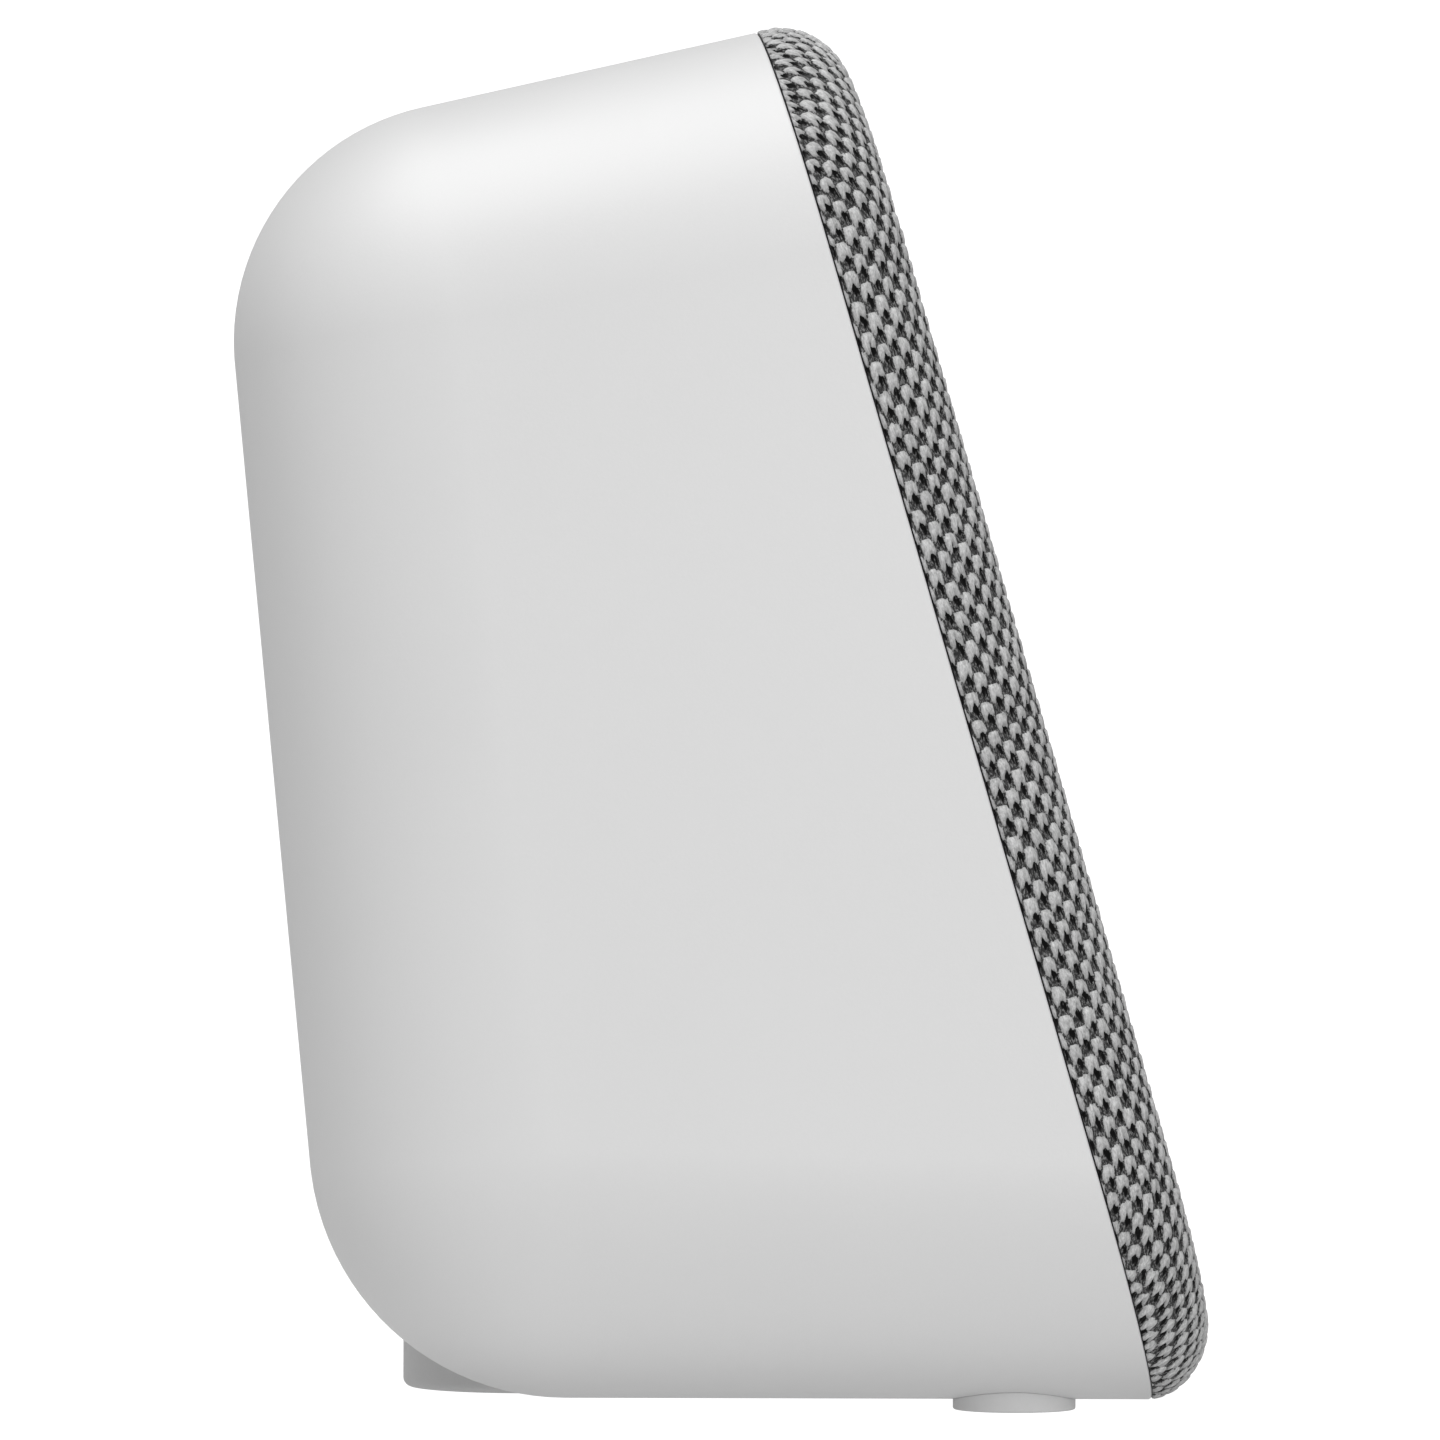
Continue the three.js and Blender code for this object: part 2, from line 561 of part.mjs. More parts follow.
const coneNeck = [DRIVER.coil + GAP, CONE.neck + CONE.skin / 2];
const coneMouth = [coneEdge - 2 * CONE.skin, CONE.rim];
piece(
  "driver_cone",
  turned(
    [
      [coneEdge, CONE.rim],
      [coneEdge, CONE.rim - CONE.skin],
      [DRIVER.coil + GAP, CONE.neck - CONE.skin],
      coneNeck,
      coneMouth,
    ],
    0,
    driverUp,
    ROUND,
  ),
  paper,
  front,
);

function dustCap() {
  const reach = DRIVER.coil + 2.6;
  const rise = 4;
  const share = (reach - coneNeck[0]) / (coneMouth[0] - coneNeck[0]);
  const low = coneNeck[1] + share * (coneMouth[1] - coneNeck[1]) + GAP;
  const dome = (lift) => [0, 0.4, 0.75, 1].map((s) => [reach * s, low + lift + rise * (1 - s * s)]);
  return turned([...dome(CONE.skin), ...dome(0).reverse()], 0, driverUp, ROUND);
}
piece("driver_dust_cap", dustCap(), paper, front);

piece(
  "driver_voice_coil",
  turned(
    [
      [coilInner, CONE.neck],
      [DRIVER.coil, CONE.neck],
      [DRIVER.coil, magnetFront - 5],
      [coilInner, magnetFront - 5],
    ],
    0,
    driverUp,
    ROUND,
  ),
  copper,
  front,
);

function spider() {
  const inner = DRIVER.coil + GAP;
  const outer = BASKET.foot - GAP;
  const waves = 6;
  const skin = 0.6;
  const line = (drop) =>
    Array.from({ length: waves + 1 }, (_, i) => [
      inner + ((outer - inner) * i) / waves,
      BASKET.floor + 1.7 + (i % 2 ? 1 : 0) - drop,
    ]);
  return turned([...line(0), ...line(skin).reverse()], 0, driverUp, ROUND);
}
piece("driver_spider", spider(), cloth, front);

const ring = (inner, outer, back, face, sides = ROUND) =>
  turned(
    [
      [inner, back],
      [outer, back],
      [outer, face],
      [inner, face],
    ],
    0,
    driverUp,
    sides,
  );
const topPlate = ring(DRIVER.coil + 0.5, TOP_PLATE.radius, magnetTop - TOP_PLATE.thick, magnetTop);
piece("driver_top_plate", topPlate, steel, front);
const magnet = ring(DRIVER.coil + 3, DRIVER.magnet, magnetFront - MAGNET_THICK, magnetFront);
piece("driver_magnet", magnet, ferrite, front);
piece(
  "driver_yoke",
  turned(
    [
      [0, yokeFront - YOKE_THICK],
      [DRIVER.magnet - 1, yokeFront - YOKE_THICK],
      [DRIVER.magnet - 1, yokeFront],
      [DRIVER.pole, yokeFront],
      [DRIVER.pole, magnetTop],
      [0, magnetTop],
    ],
    0,
    driverUp,
    ROUND,
  ),
  steel,
  front,
);

// ---- Passive radiator -----------------------------------------------------------------------
const radiatorRoll = radiatorFlange - DRIVER.land;
const radiatorPlate = radiatorRoll - GAP - RADIATOR_ROLL;
piece(
  "radiator_frame",
  turned(
    [
      [radiatorRoll, FLANGE.front],
      [radiatorFlange, FLANGE.front],
      [radiatorFlange, FLANGE.back],
      [radiatorRoll + 1.2, FLANGE.back],
      [radiatorRoll + 1.2, BAFFLE.back - 2],
      [radiatorRoll, BAFFLE.back - 2],
    ],
    0,
    radiatorUp,
    ROUND,
  ),
  black,
  front,
);
piece(
  "radiator_surround",
  rollSurround(radiatorPlate + GAP, radiatorRoll - GAP, -2.4, 0, radiatorUp, ROUND),
  rubber,
  front,
);
piece(
  "radiator_plate",
  turned(
    [
      [0, -5.2],
      [radiatorPlate * 0.5, -5.2],
      [radiatorPlate * 0.5, -4],
      [radiatorPlate, -4],
      [radiatorPlate, -1.8],
      [0, -1.8],
    ],
    0,
    radiatorUp,
    ROUND,
  ),
  paper,
  front,
);

// ---- Status lights behind the knit ----------------------------------------------------------
const stripWidth = LIGHTS.count * LIGHTS.pitch + 4;
const guideBack = BAFFLE.back - GAP - 1;
piece(
  "light_guide",
  join(
    block(stripWidth - 4, LIGHTS.stripHeight - 2, guideBack, BAFFLE.back - GAP, 0, lightsUp),
    ...lightPlaces.map((x) => bar(LIGHTS.radius, guideBack + 0.5, BAFFLE.front, x, lightsUp, 12)),
  ),
  lightGuide,
  front,
);
piece(
  "light_board",
  join(
    block(stripWidth, LIGHTS.stripHeight, guideBack - 2.6, guideBack - 1.4, 0, lightsUp),
    ...lightPlaces.map((x) => block(2, 2, guideBack - 1.6, guideBack - GAP, x, lightsUp)),
  ),
  circuit,
  front,
);

// ---- Top controls ---------------------------------------------------------------------------
const buttonUnder = -WALL - GAP;
const tactTop = CONTROL_BOARD.top + GAP + KEY_SWITCH.height;
const stemEnd = tactTop + BUTTON.travel + GAP;
const controlBack = CONTROL_BOARD.top - CONTROL_BOARD.thick;
buttonPlaces.forEach((x, i) => {
  piece(
    `button_${buttonNames[i]}`,
    turned(
      [
        [0, BUTTON.proud],
        [BUTTON.radius - 0.5, BUTTON.proud],
        [BUTTON.radius, BUTTON.proud - 0.4],
        [BUTTON.radius, buttonUnder],
        [buttonSkirt, buttonUnder],
        [buttonSkirt, buttonUnder - 1.2],
        [1.5, buttonUnder - 1.2],
        [1.5, stemEnd],
        [0, stemEnd],
      ],
      x,
      BUTTON.fromRim,
      20,
    ),
    keypad,
    top,
  );
  const base = CONTROL_BOARD.top + GAP;
  piece(
    `key_switch_${i + 1}`,
    join(
      block(KEY_SWITCH.side, KEY_SWITCH.side, base, base + KEY_SWITCH.body, x, BUTTON.fromRim),
      bar(KEY_SWITCH.stem, base + KEY_SWITCH.body / 2, tactTop, x, BUTTON.fromRim, 12),
    ),
    black,
    top,
  );
});
const boardHoles = (posts, back, face) =>
  posts.map(([x, y]) => bar(STAKE.pin + GAP, back - 1, face + 1, x, y, 10));
piece(
  "control_board",
  cut(
    block(controlWidth, CONTROL_BOARD.length, controlBack, CONTROL_BOARD.top, 0, CONTROL_BOARD.fromRim),
    ...boardHoles(controlPosts, controlBack, CONTROL_BOARD.top),
  ),
  circuit,
  top,
);
[-1, 1].forEach((side) => {
  const base = CONTROL_BOARD.top + GAP;
  const x = side * microphoneX;
  const boot = turned(
    [
      [MICROPHONE.hole, base + 1.4],
      [MICROPHONE.boot, base + 1.4],
      [MICROPHONE.boot, -WALL - GAP],
      [MICROPHONE.hole, -WALL - GAP],
    ],
    x,
    BUTTON.fromRim,
    12,
  );
  piece(
    side < 0 ? "microphone_left" : "microphone_right",
    join(block(4.4, 3.6, base, base + 1.6, x, BUTTON.fromRim), boot),
    rubber,
    top,
  );
});

// ---- Rear sockets ---------------------------------------------------------------------------
const portFloor = -PORTS.depth;
const portBack = portFloor - PORTS.wall;
const JACK = { x: 13, nose: 3.9, bore: 3, pin: 1, body: 10 };
const USB = { x: -5, width: 8.9, height: 3.2, wall: 0.4 };
const RESET = { x: -17, radius: 0.8 };
const ioTop = portFloor - IO_BOARD.behind;
function portPanel() {
  const w = PORTS.width - 2 * GAP;
  const h = PORTS.height - 2 * GAP;
  const flangeFront = -WALL - GAP;
  const cup = (out, corner) => roundedRectangle(w + 2 * out, h + 2 * out, corner, 0, PORTS.up);
  const tray = join(
    slab(cup(0, PORTS.corner - GAP), portBack, -GAP, 2),
    slab(cup(PORTS.flange, PORTS.corner + 2), flangeFront - PORTS.wall, flangeFront, 2),
  );
  const hollow = cup(-PORTS.wall, PORTS.corner - PORTS.wall - GAP);
  const usbWidth = USB.width + 2 * GAP;
  const usbHeight = USB.height + 2 * GAP;
  const usbHole = roundedRectangle(usbWidth, usbHeight, USB.height / 2, USB.x, PORTS.up);
  return cut(
    tray,
    slab(hollow, portFloor, WALL, 2),
    bar(JACK.nose + GAP, portBack - 1, 0, JACK.x, PORTS.up, 20),
    slab(usbHole, portBack - 1, 0, 3),
    bar(RESET.radius, portBack - 1, 0, RESET.x, PORTS.up, 8),
  );
}
piece("port_panel", portPanel(), white, rear);

const socketFace = portFloor - GAP;
const behindPanel = portBack - GAP;
piece(
  "power_socket",
  join(
    cut(
      join(
        block(JACK.body, JACK.body, ioTop + GAP, behindPanel, JACK.x, PORTS.up),
        bar(JACK.nose, behindPanel - 1, socketFace, JACK.x, PORTS.up, 20),
      ),
      bar(JACK.bore, ioTop + 3, 0, JACK.x, PORTS.up, 20),
    ),
    bar(JACK.pin, ioTop + 2, socketFace - 1, JACK.x, PORTS.up, 10),
  ),
  black,
  rear,
);
const usbOuter = roundedRectangle(USB.width, USB.height, USB.height / 2 - 0.1, USB.x, PORTS.up);
const usbInner = roundedRectangle(
  USB.width - 2 * USB.wall,
  USB.height - 2 * USB.wall,
  USB.height / 2 - USB.wall - 0.1,
  USB.x,
  PORTS.up,
);
piece(
  "service_socket",
  join(
    cut(slab(usbOuter, ioTop + GAP, socketFace, 3), slab(usbInner, ioTop + 4, 0, 3)),
    block(USB.width - 3, 0.7, ioTop + 3, socketFace - 1, USB.x, PORTS.up),
  ),
  steel,
  rear,
);
const socketBoard = block(IO_BOARD.width, IO_BOARD.height, ioTop - IO_BOARD.thick, ioTop, 0, PORTS.up);
piece("socket_board", socketBoard, circuit, rear);

// ---- Microphone mute slider -----------------------------------------------------------------
const sliderBack = -WALL - GAP - 1;
const muteRest = -MUTE.travel / 2;
piece(
  "mute_slider",
  join(
    cut(
      block(MUTE.knob, MUTE.slotHeight - 2 * GAP, sliderBack, -MUTE.dish + 0.8, muteRest, muteUp),
      ...[-1.4, 0, 1.4].map((dx) => block(0.5, 8, -MUTE.dish + 0.4, 1, muteRest + dx, muteUp)),
    ),
    block(MUTE.knob + 6, MUTE.slotHeight + 2, sliderBack, -WALL - GAP, muteRest, muteUp),
  ),
  keypad,
  rear,
);
piece(
  "mute_switch",
  block(MUTE.knob + 7.6, MUTE.slotHeight + 3, -MAIN_BOARD.stand + GAP, sliderBack - GAP, 0, muteUp),
  black,
  rear,
);

// ---- Main board and what stands on it -------------------------------------------------------
const boardBack = -MAIN_BOARD.stand - MAIN_BOARD.thick;
const partsFoot = boardBack - GAP;
piece(
  "main_board",
  cut(
    block(mainBoardWidth, mainBoardHigh - mainBoardLow, boardBack, -MAIN_BOARD.stand, 0, mainBoardUp),
    ...boardHoles(mainBoardPosts, boardBack, -MAIN_BOARD.stand),
  ),
  circuit,
  rear,
);
const { radius: canRadius, height: canHeight, bead } = CAPACITOR;
const capacitorUp = mainBoardLow + 2 * canRadius;
const chipsLow = capacitorUp + canRadius + 2;
const chipsHigh = mainBoardHigh - 2 * STAKE.fromEdge;
const chipsUp = (chipsLow + chipsHigh) / 2;
const chipsLength = chipsHigh - chipsLow;
const shieldX = SHIELD.width / 2 + 3;
piece(
  "radio_shield",
  block(SHIELD.width, chipsLength, partsFoot - SHIELD.height, partsFoot, shieldX, chipsUp),
  steel,
  rear,
);

function heatSink() {
  const x = -SINK.width / 2 - 5;
  const pitch = (chipsLength - SINK.fin) / (SINK.fins - 1);
  const fins = Array.from({ length: SINK.fins }, (_, i) => {
    const up = chipsLow + SINK.fin / 2 + i * pitch;
    return block(SINK.width, SINK.fin, partsFoot - SINK.height, partsFoot - SINK.base / 2, x, up);
  });
  return join(block(SINK.width, chipsLength, partsFoot - SINK.base, partsFoot, x, chipsUp), ...fins);
}
piece("amplifier_heat_sink", heatSink(), aluminium, rear);
[-1, 1].forEach((side, i) => {
  const profile = [
    [0, partsFoot],
    [canRadius, partsFoot],
    [canRadius, partsFoot - 4 * bead],
    [canRadius - bead, partsFoot - 6 * bead],
    [canRadius, partsFoot - 8 * bead],
    [canRadius, partsFoot - canHeight],
    [0, partsFoot - canHeight],
  ];
  const x = side * (canRadius + 1);
  piece(`capacitor_${i + 1}`, turned(profile, x, capacitorUp, 16), capacitorSleeve, rear);
});

// ---- Antenna on the inside of the left wall -------------------------------------------------
const antennaDrop = -34;
const sideIn = halfRim + Math.tan(radians(SIDE_DRAFT)) * antennaDrop - WALL / Math.cos(radians(SIDE_DRAFT));
const ANTENNA = { thick: 0.5, length: 44, width: 12 };
const antenna = new THREE.BoxGeometry(ANTENNA.thick, ANTENNA.length, ANTENNA.width);
antenna.rotateY(radians(-SIDE_DRAFT));
antenna.translate(-sideIn + GAP + ANTENNA.thick / 2, RIM_LENGTH / 2, antennaDrop);
piece("wifi_antenna", antenna, ribbon, front);

// ---- Leads inside the cabinet ---------------------------------------------------------------
const along = (matrix, x, y, z) => new THREE.Vector3(x, y, z).applyMatrix4(matrix);
function lead(name, points, section, material, steps = 28) {
  const path = new THREE.CatmullRomCurve3(points, false, "centripetal");
  piece(name, new THREE.ExtrudeGeometry(section, { steps, extrudePath: path, curveSegments: 2 }), material);
}
function roundSection(radius) {
  const shape = new THREE.Shape();
  shape.absarc(0, 0, radius, 0, 2 * Math.PI);
  return shape;
}
function flatSection(width, thick) {
  const shape = new THREE.Shape();
  shape.moveTo(-width / 2, -thick / 2).lineTo(width / 2, -thick / 2);
  return shape.lineTo(width / 2, thick / 2).lineTo(-width / 2, thick / 2);
}
lead(
  "control_ribbon",
  [
    along(topFrame, 0, controlFar - 2, controlBack - GAP),
    along(topFrame, 0, controlFar - 2, controlBack - 6),
    along(rearFrame, 0, mainBoardHigh - 2, partsFoot - 10),
    along(rearFrame, 0, mainBoardHigh - 4, partsFoot - 3),
    along(rearFrame, 0, mainBoardHigh - 4, partsFoot),
  ],
  flatSection(10, 0.6),
  ribbon,
);
lead(
  "driver_lead",
  [
    along(rearFrame, 18, mainBoardLow + 8, partsFoot - 0.3),
    along(rearFrame, 18, mainBoardLow + 8, partsFoot - 8),
    along(rearFrame, 26, mainBoardLow + 2, partsFoot - 20),
    along(rimFrame, -30, driverUp + 2, magnetFront - 4),
    along(rimFrame, -29, driverUp, BASKET.floor - 3),
    along(rimFrame, -26, driverUp, BASKET.floor + 2),
  ],
  roundSection(1),
  wire,
);
lead(
  "light_lead",
  [
    along(rimFrame, 14, lightsUp, guideBack - 2.6 - 2 * GAP),
    along(topFrame, 14, controlNear - 3, controlBack - 1),
    along(topFrame, 14, controlNear - 1.5, controlBack - 5),
    along(topFrame, 14, controlNear + 2, controlBack - 5.6),
    along(topFrame, 14, controlNear + 3, controlBack - 2),
    along(topFrame, 14, controlNear + 3, controlBack - GAP),
  ],
  roundSection(0.8),
  wire,
  20,
);
lead(
  "power_lead",
  [
    along(rearFrame, -16, PORTS.up + 6, ioTop - IO_BOARD.thick - GAP),
    along(rearFrame, -16, PORTS.up + 8, ioTop - IO_BOARD.thick - 6),
    along(rearFrame, -16, mainBoardLow + 2, partsFoot - 8),
    along(rearFrame, -16, mainBoardLow + 7, partsFoot - 4),
    along(rearFrame, -16, mainBoardLow + 7, partsFoot - 0.2),
  ],
  roundSection(1),
  wire,
  20,
);

// The origin goes on the table under the middle of the whole box.
const box = new THREE.Box3().setFromObject(speaker, true);
speaker.position.set(0, -(box.min.y + box.max.y) / 2, -box.min.z);

export default speaker;
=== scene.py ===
import math

import bpy
import numpy as np
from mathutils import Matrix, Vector
from mathutils.bvhtree import BVHTree
from mathutils.geometry import tessellate_polygon


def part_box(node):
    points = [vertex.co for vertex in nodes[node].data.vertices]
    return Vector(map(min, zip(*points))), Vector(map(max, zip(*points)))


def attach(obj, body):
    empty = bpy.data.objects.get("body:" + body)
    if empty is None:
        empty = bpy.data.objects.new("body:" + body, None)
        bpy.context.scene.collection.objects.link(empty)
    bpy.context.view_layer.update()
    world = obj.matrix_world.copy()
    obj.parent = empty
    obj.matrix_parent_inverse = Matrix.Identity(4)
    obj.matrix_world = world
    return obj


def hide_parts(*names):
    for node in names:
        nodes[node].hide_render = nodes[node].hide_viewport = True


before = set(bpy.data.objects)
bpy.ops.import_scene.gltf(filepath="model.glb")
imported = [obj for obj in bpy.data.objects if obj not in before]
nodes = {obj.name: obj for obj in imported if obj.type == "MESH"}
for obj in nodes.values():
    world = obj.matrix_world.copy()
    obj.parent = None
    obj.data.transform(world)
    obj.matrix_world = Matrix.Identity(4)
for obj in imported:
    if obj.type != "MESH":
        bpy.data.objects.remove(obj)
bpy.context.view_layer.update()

MM = 0.001  # the sizes below are in millimetres, and every mesh is made in metres

# ---- Camera ---------------------------------------------------------------------------------
# It looks at the speaker's left side from table height, tilted up a little, from about seven
# times the cabinet's depth.
lens = bpy.data.cameras.new("camera")
lens.sensor_width = 36
lens.lens = 158.25
camera = bpy.data.objects.new("camera", lens)
camera.location = (-0.875, -0.0002, 0.0573)
camera_rise = 0.03934  # of its line of sight, as a share of the distance
camera.rotation_euler = (math.pi / 2 + math.atan(camera_rise), 0, -math.pi / 2)
bpy.context.scene.collection.objects.link(camera)
bpy.context.scene.camera = camera


# ---- Room -----------------------------------------------------------------------------------
# A sweep of white paper that gives off a little light of its own, under soft studio light: a
# broad light above, another beside the front, and an even glow from all round.
PAPER_WHITE = 0.35
PAPER_GLOW = (0.4, 0.6)  # what it gives off, and how much more the camera sees
ROOM_GLOW = (0.22, 0.78)  # the same for the room all round


def new_material(name):
    material = bpy.data.materials.new(name)
    material.use_nodes = True
    tree = material.node_tree
    return material, tree, tree.nodes["Principled BSDF"]


def sums(tree, operation, *values, clamp=False):
    """One math node; each value is a number or another node's output."""
    node = tree.nodes.new("ShaderNodeMath")
    node.operation = operation
    node.use_clamp = clamp
    for socket, value in zip(node.inputs, values):
        if isinstance(value, (int, float)):
            socket.default_value = value
        else:
            tree.links.new(value, socket)
    return node.outputs[0]


def soft_light(name, place, target, size, watts):
    data = bpy.data.lights.new(name, "AREA")
    data.shape = "RECTANGLE"
    data.size, data.size_y = size
    data.energy = watts
    lamp = bpy.data.objects.new(name, data)
    lamp.location = place
    lamp.rotation_euler = (Vector(target) - Vector(place)).to_track_quat("-Z", "Y").to_euler()
    bpy.context.scene.collection.objects.link(lamp)


bpy.context.scene.view_settings.view_transform = "Standard"
world = bpy.data.worlds.new("studio")
bpy.context.scene.world = world
world.use_nodes = True
sky = world.node_tree
glow = sky.nodes["Background"]
glow.inputs["Color"].default_value = (1, 1, 1, 1)
seen = sky.nodes.new("ShaderNodeLightPath").outputs["Is Camera Ray"]
sky.links.new(sums(sky, "MULTIPLY_ADD", seen, ROOM_GLOW[1], ROOM_GLOW[0]), glow.inputs["Strength"])
soft_light("above", (-0.36, 0.27, 1.27), (0, 0, 0.1), (1.0, 1.0), 12.5)
soft_light("front_side", (-1.2, -0.42, 0.27), (0, 0, 0.09), (0.9, 0.9), 7.4)

SWEEP_BEHIND = 1.2
SWEEP_RADIUS = 0.5
SWEEP_RISE = 1.4
SWEEP_HALF = 2.5
SWEEP_STEPS = 16


def paper_sweep():
    profile = [(-SWEEP_HALF, 0.0), (SWEEP_BEHIND, 0.0)]
    for step in range(1, SWEEP_STEPS + 1):
        turn = step / SWEEP_STEPS * math.pi / 2
        profile.append(
            (SWEEP_BEHIND + SWEEP_RADIUS * math.sin(turn), SWEEP_RADIUS * (1 - math.cos(turn)))
        )
    profile.append((SWEEP_BEHIND + SWEEP_RADIUS, SWEEP_RISE))
    points = [(x, y, z) for x, z in profile for y in (-SWEEP_HALF, SWEEP_HALF)]
    faces = [(2 * i, 2 * i + 1, 2 * i + 3, 2 * i + 2) for i in range(len(profile) - 1)]
    mesh = bpy.data.meshes.new("paper_sweep")
    mesh.from_pydata(points, [], faces)
    mesh.shade_smooth()
    sweep = bpy.data.objects.new("paper_sweep", mesh)
    bpy.context.scene.collection.objects.link(sweep)
    return sweep


sweep = paper_sweep()
paper, tree, shader = new_material("paper")
shader.inputs["Base Color"].default_value = (PAPER_WHITE, PAPER_WHITE, PAPER_WHITE, 1)
shader.inputs["Roughness"].default_value = 0.9
seen = tree.nodes.new("ShaderNodeLightPath").outputs["Is Camera Ray"]
shader.inputs["Emission Color"].default_value = (1, 1, 1, 1)
seen_glow = sums(tree, "MULTIPLY_ADD", seen, PAPER_GLOW[1], PAPER_GLOW[0])
tree.links.new(seen_glow, shader.inputs["Emission Strength"])
sweep.data.materials.append(paper)

# ---- Housing --------------------------------------------------------------------------------
# One white satin moulding: a leaning rim drawn back to four balls at the rear corners, with flat
# top and rear faces. The keys, microphones, sockets and mute slider show through its openings.
WIDTH = 158
RIM_LENGTH = 186.1
BASE_DEPTH = 106.9
FRONT_LEAN = math.radians(16.04)
REAR_LEAN = math.radians(5.42)
TOP_SLOPE = math.radians(12.6)
SIDE_DRAFT = math.radians(2)
RIM_CORNER = 33
UPPER_BALL = 31.5
LOWER_BALL = 33.7
WALL = 2.4
RIM_FILLET = 0.35
GAP = 0.3
KEY_X = (-30, -10, 10, 30)
KEY_RADIUS = 6.2
KEYS_FROM_RIM = 22
MICROPHONE_X = 41.2
MICROPHONE_HOLE = 0.8
KEY_LIP = 0.3
MICROPHONE_LIP = 0.2
REAR_LIP = 0.4
SLOT_LIP = 0.2
PORT = {"width": 48, "height": 17, "corner": 3, "up": 17}
MUTE_SLOT = {"width": 9.6, "height": 4, "corner": 1.2}
MUTE_DISH = {"width": 17.6, "height": 8, "corner": 3.4, "depth": 1}
MUTE_FROM_HEAD = 20

low_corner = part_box("housing")[0]
rim_foot = np.array([0, low_corner.y / MM, low_corner.z / MM])
sin_lean, cos_lean = math.sin(FRONT_LEAN), math.cos(FRONT_LEAN)
RIM_ACROSS = np.array([1.0, 0, 0])
RIM_UP = np.array([0, sin_lean, cos_lean])
RIM_OUT = np.array([0, -cos_lean, sin_lean])
UNDER_OUT = np.array([0, 0, -1.0])
TOP_OUT = np.array([0, math.sin(TOP_SLOPE), math.cos(TOP_SLOPE)])
REAR_OUT = np.array([0, math.cos(REAR_LEAN), -math.sin(REAR_LEAN)])
rim_head = rim_foot + RIM_LENGTH * RIM_UP
rear_base = rim_foot + np.array([0, BASE_DEPTH, 0])


def unit(v):
    return v / np.linalg.norm(v)


def slerp(a, b, share):
    angle = math.acos(max(-1.0, min(1.0, float(a @ b))))
    if angle < 1e-9:
        return a
    return (math.sin((1 - share) * angle) * a + math.sin(share * angle) * b) / math.sin(angle)


def ball_between(out_a, on_a, out_b, on_b, radius, side):
    """The centre of a ball that touches two planes and the drafted side wall from inside."""
    a = [[out_a[1], out_a[2]], [out_b[1], out_b[2]]]
    y, z = np.linalg.solve(a, [out_a @ on_a - radius, out_b @ on_b - radius])
    behind = (np.array([0, y, z]) - rim_foot) @ RIM_OUT
    reach = WIDTH / 2 + math.tan(SIDE_DRAFT) * behind - radius / math.cos(SIDE_DRAFT)
    return np.array([side * reach, y, z])


class Skin:
    """Gathers faces, each with its corners' own normals, and welds the points they share."""

    def __init__(self):
        self.points, self.index, self.faces, self.normals = [], {}, [], []

    def point(self, p):
        key = (round(float(p[0]), 3), round(float(p[1]), 3), round(float(p[2]), 3))
        if key not in self.index:
            self.index[key] = len(self.points)
            self.points.append(key)
        return self.index[key]

    def face(self, corners, normals):
        kept = []
        for corner, normal in zip(corners, normals):
            i = self.point(corner)
            if i not in [k for k, _ in kept]:
                kept.append((i, np.asarray(normal, float)))
        if len(kept) < 3:
            return
        places = [np.array(self.points[i]) for i, _ in kept]
        facing = sum(np.cross(places[k - 1], places[k]) for k in range(len(places)))
        if np.linalg.norm(facing) < 1e-7:
            return
        if facing @ sum(n for _, n in kept) < 0:
            kept.reverse()
        self.faces.append([i for i, _ in kept])
        self.normals += [n for _, n in kept]

    def grid(self, rows, normals, closed=False):
        """Quads between rows of points; closed joins each row's last point to its first."""
        for a, b, na, nb in zip(rows, rows[1:], normals, normals[1:]):
            count = len(a) if closed else len(a) - 1
            for i in range(count):
                j = (i + 1) % len(a)
                self.face([a[i], a[j], b[j], b[i]], [na[i], na[j], nb[j], nb[i]])

    def flat(self, loops, out):
        """One flat face inside the first loop and outside the others."""
        rounded = [[Vector(self.points[self.point(p)]) for p in loop] for loop in loops]
        every = [p for loop in rounded for p in loop]
        for triangle in tessellate_polygon(rounded):
            self.face([every[i] for i in triangle], [out] * 3)

    def build(self, name, body, slot, material, replaces=()):
        mesh = bpy.data.meshes.new(name)
        mesh.from_pydata([tuple(c * MM for c in p) for p in self.points], [], self.faces)
        mesh.polygons.foreach_set("use_smooth", [True] * len(mesh.polygons))
        mesh.normals_split_custom_set([tuple(unit(n)) for n in self.normals])
        mesh.materials.append(material)
        piece = bpy.data.objects.new(name, mesh)
        bpy.context.scene.collection.objects.link(piece)
        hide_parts(*replaces)
        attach(piece, body)
        return piece


class Place:
    """A flat face's own frame: x across it, y along it and z out of it."""

    def __init__(self, origin, across, out):
        self.origin, self.across, self.out = origin, across, out
        self.up = np.cross(out, across)

    def at(self, x, y, z=0.0):
        return self.origin + x * self.across + y * self.up + z * self.out

    def way(self, x, y, z=0.0):
        return x * self.across + y * self.up + z * self.out


def round_outline(radius, x=0.0, y=0.0, steps=48):
    """A circle, as a function of how far it is let out, that gives (x, y, outward x, outward y)."""

    def outline(out):
        turns = [2 * math.pi * i / steps for i in range(steps)]
        return [
            (x + (radius + out) * math.cos(t), y + (radius + out) * math.sin(t), math.cos(t), math.sin(t))
            for t in turns
        ]

    return outline


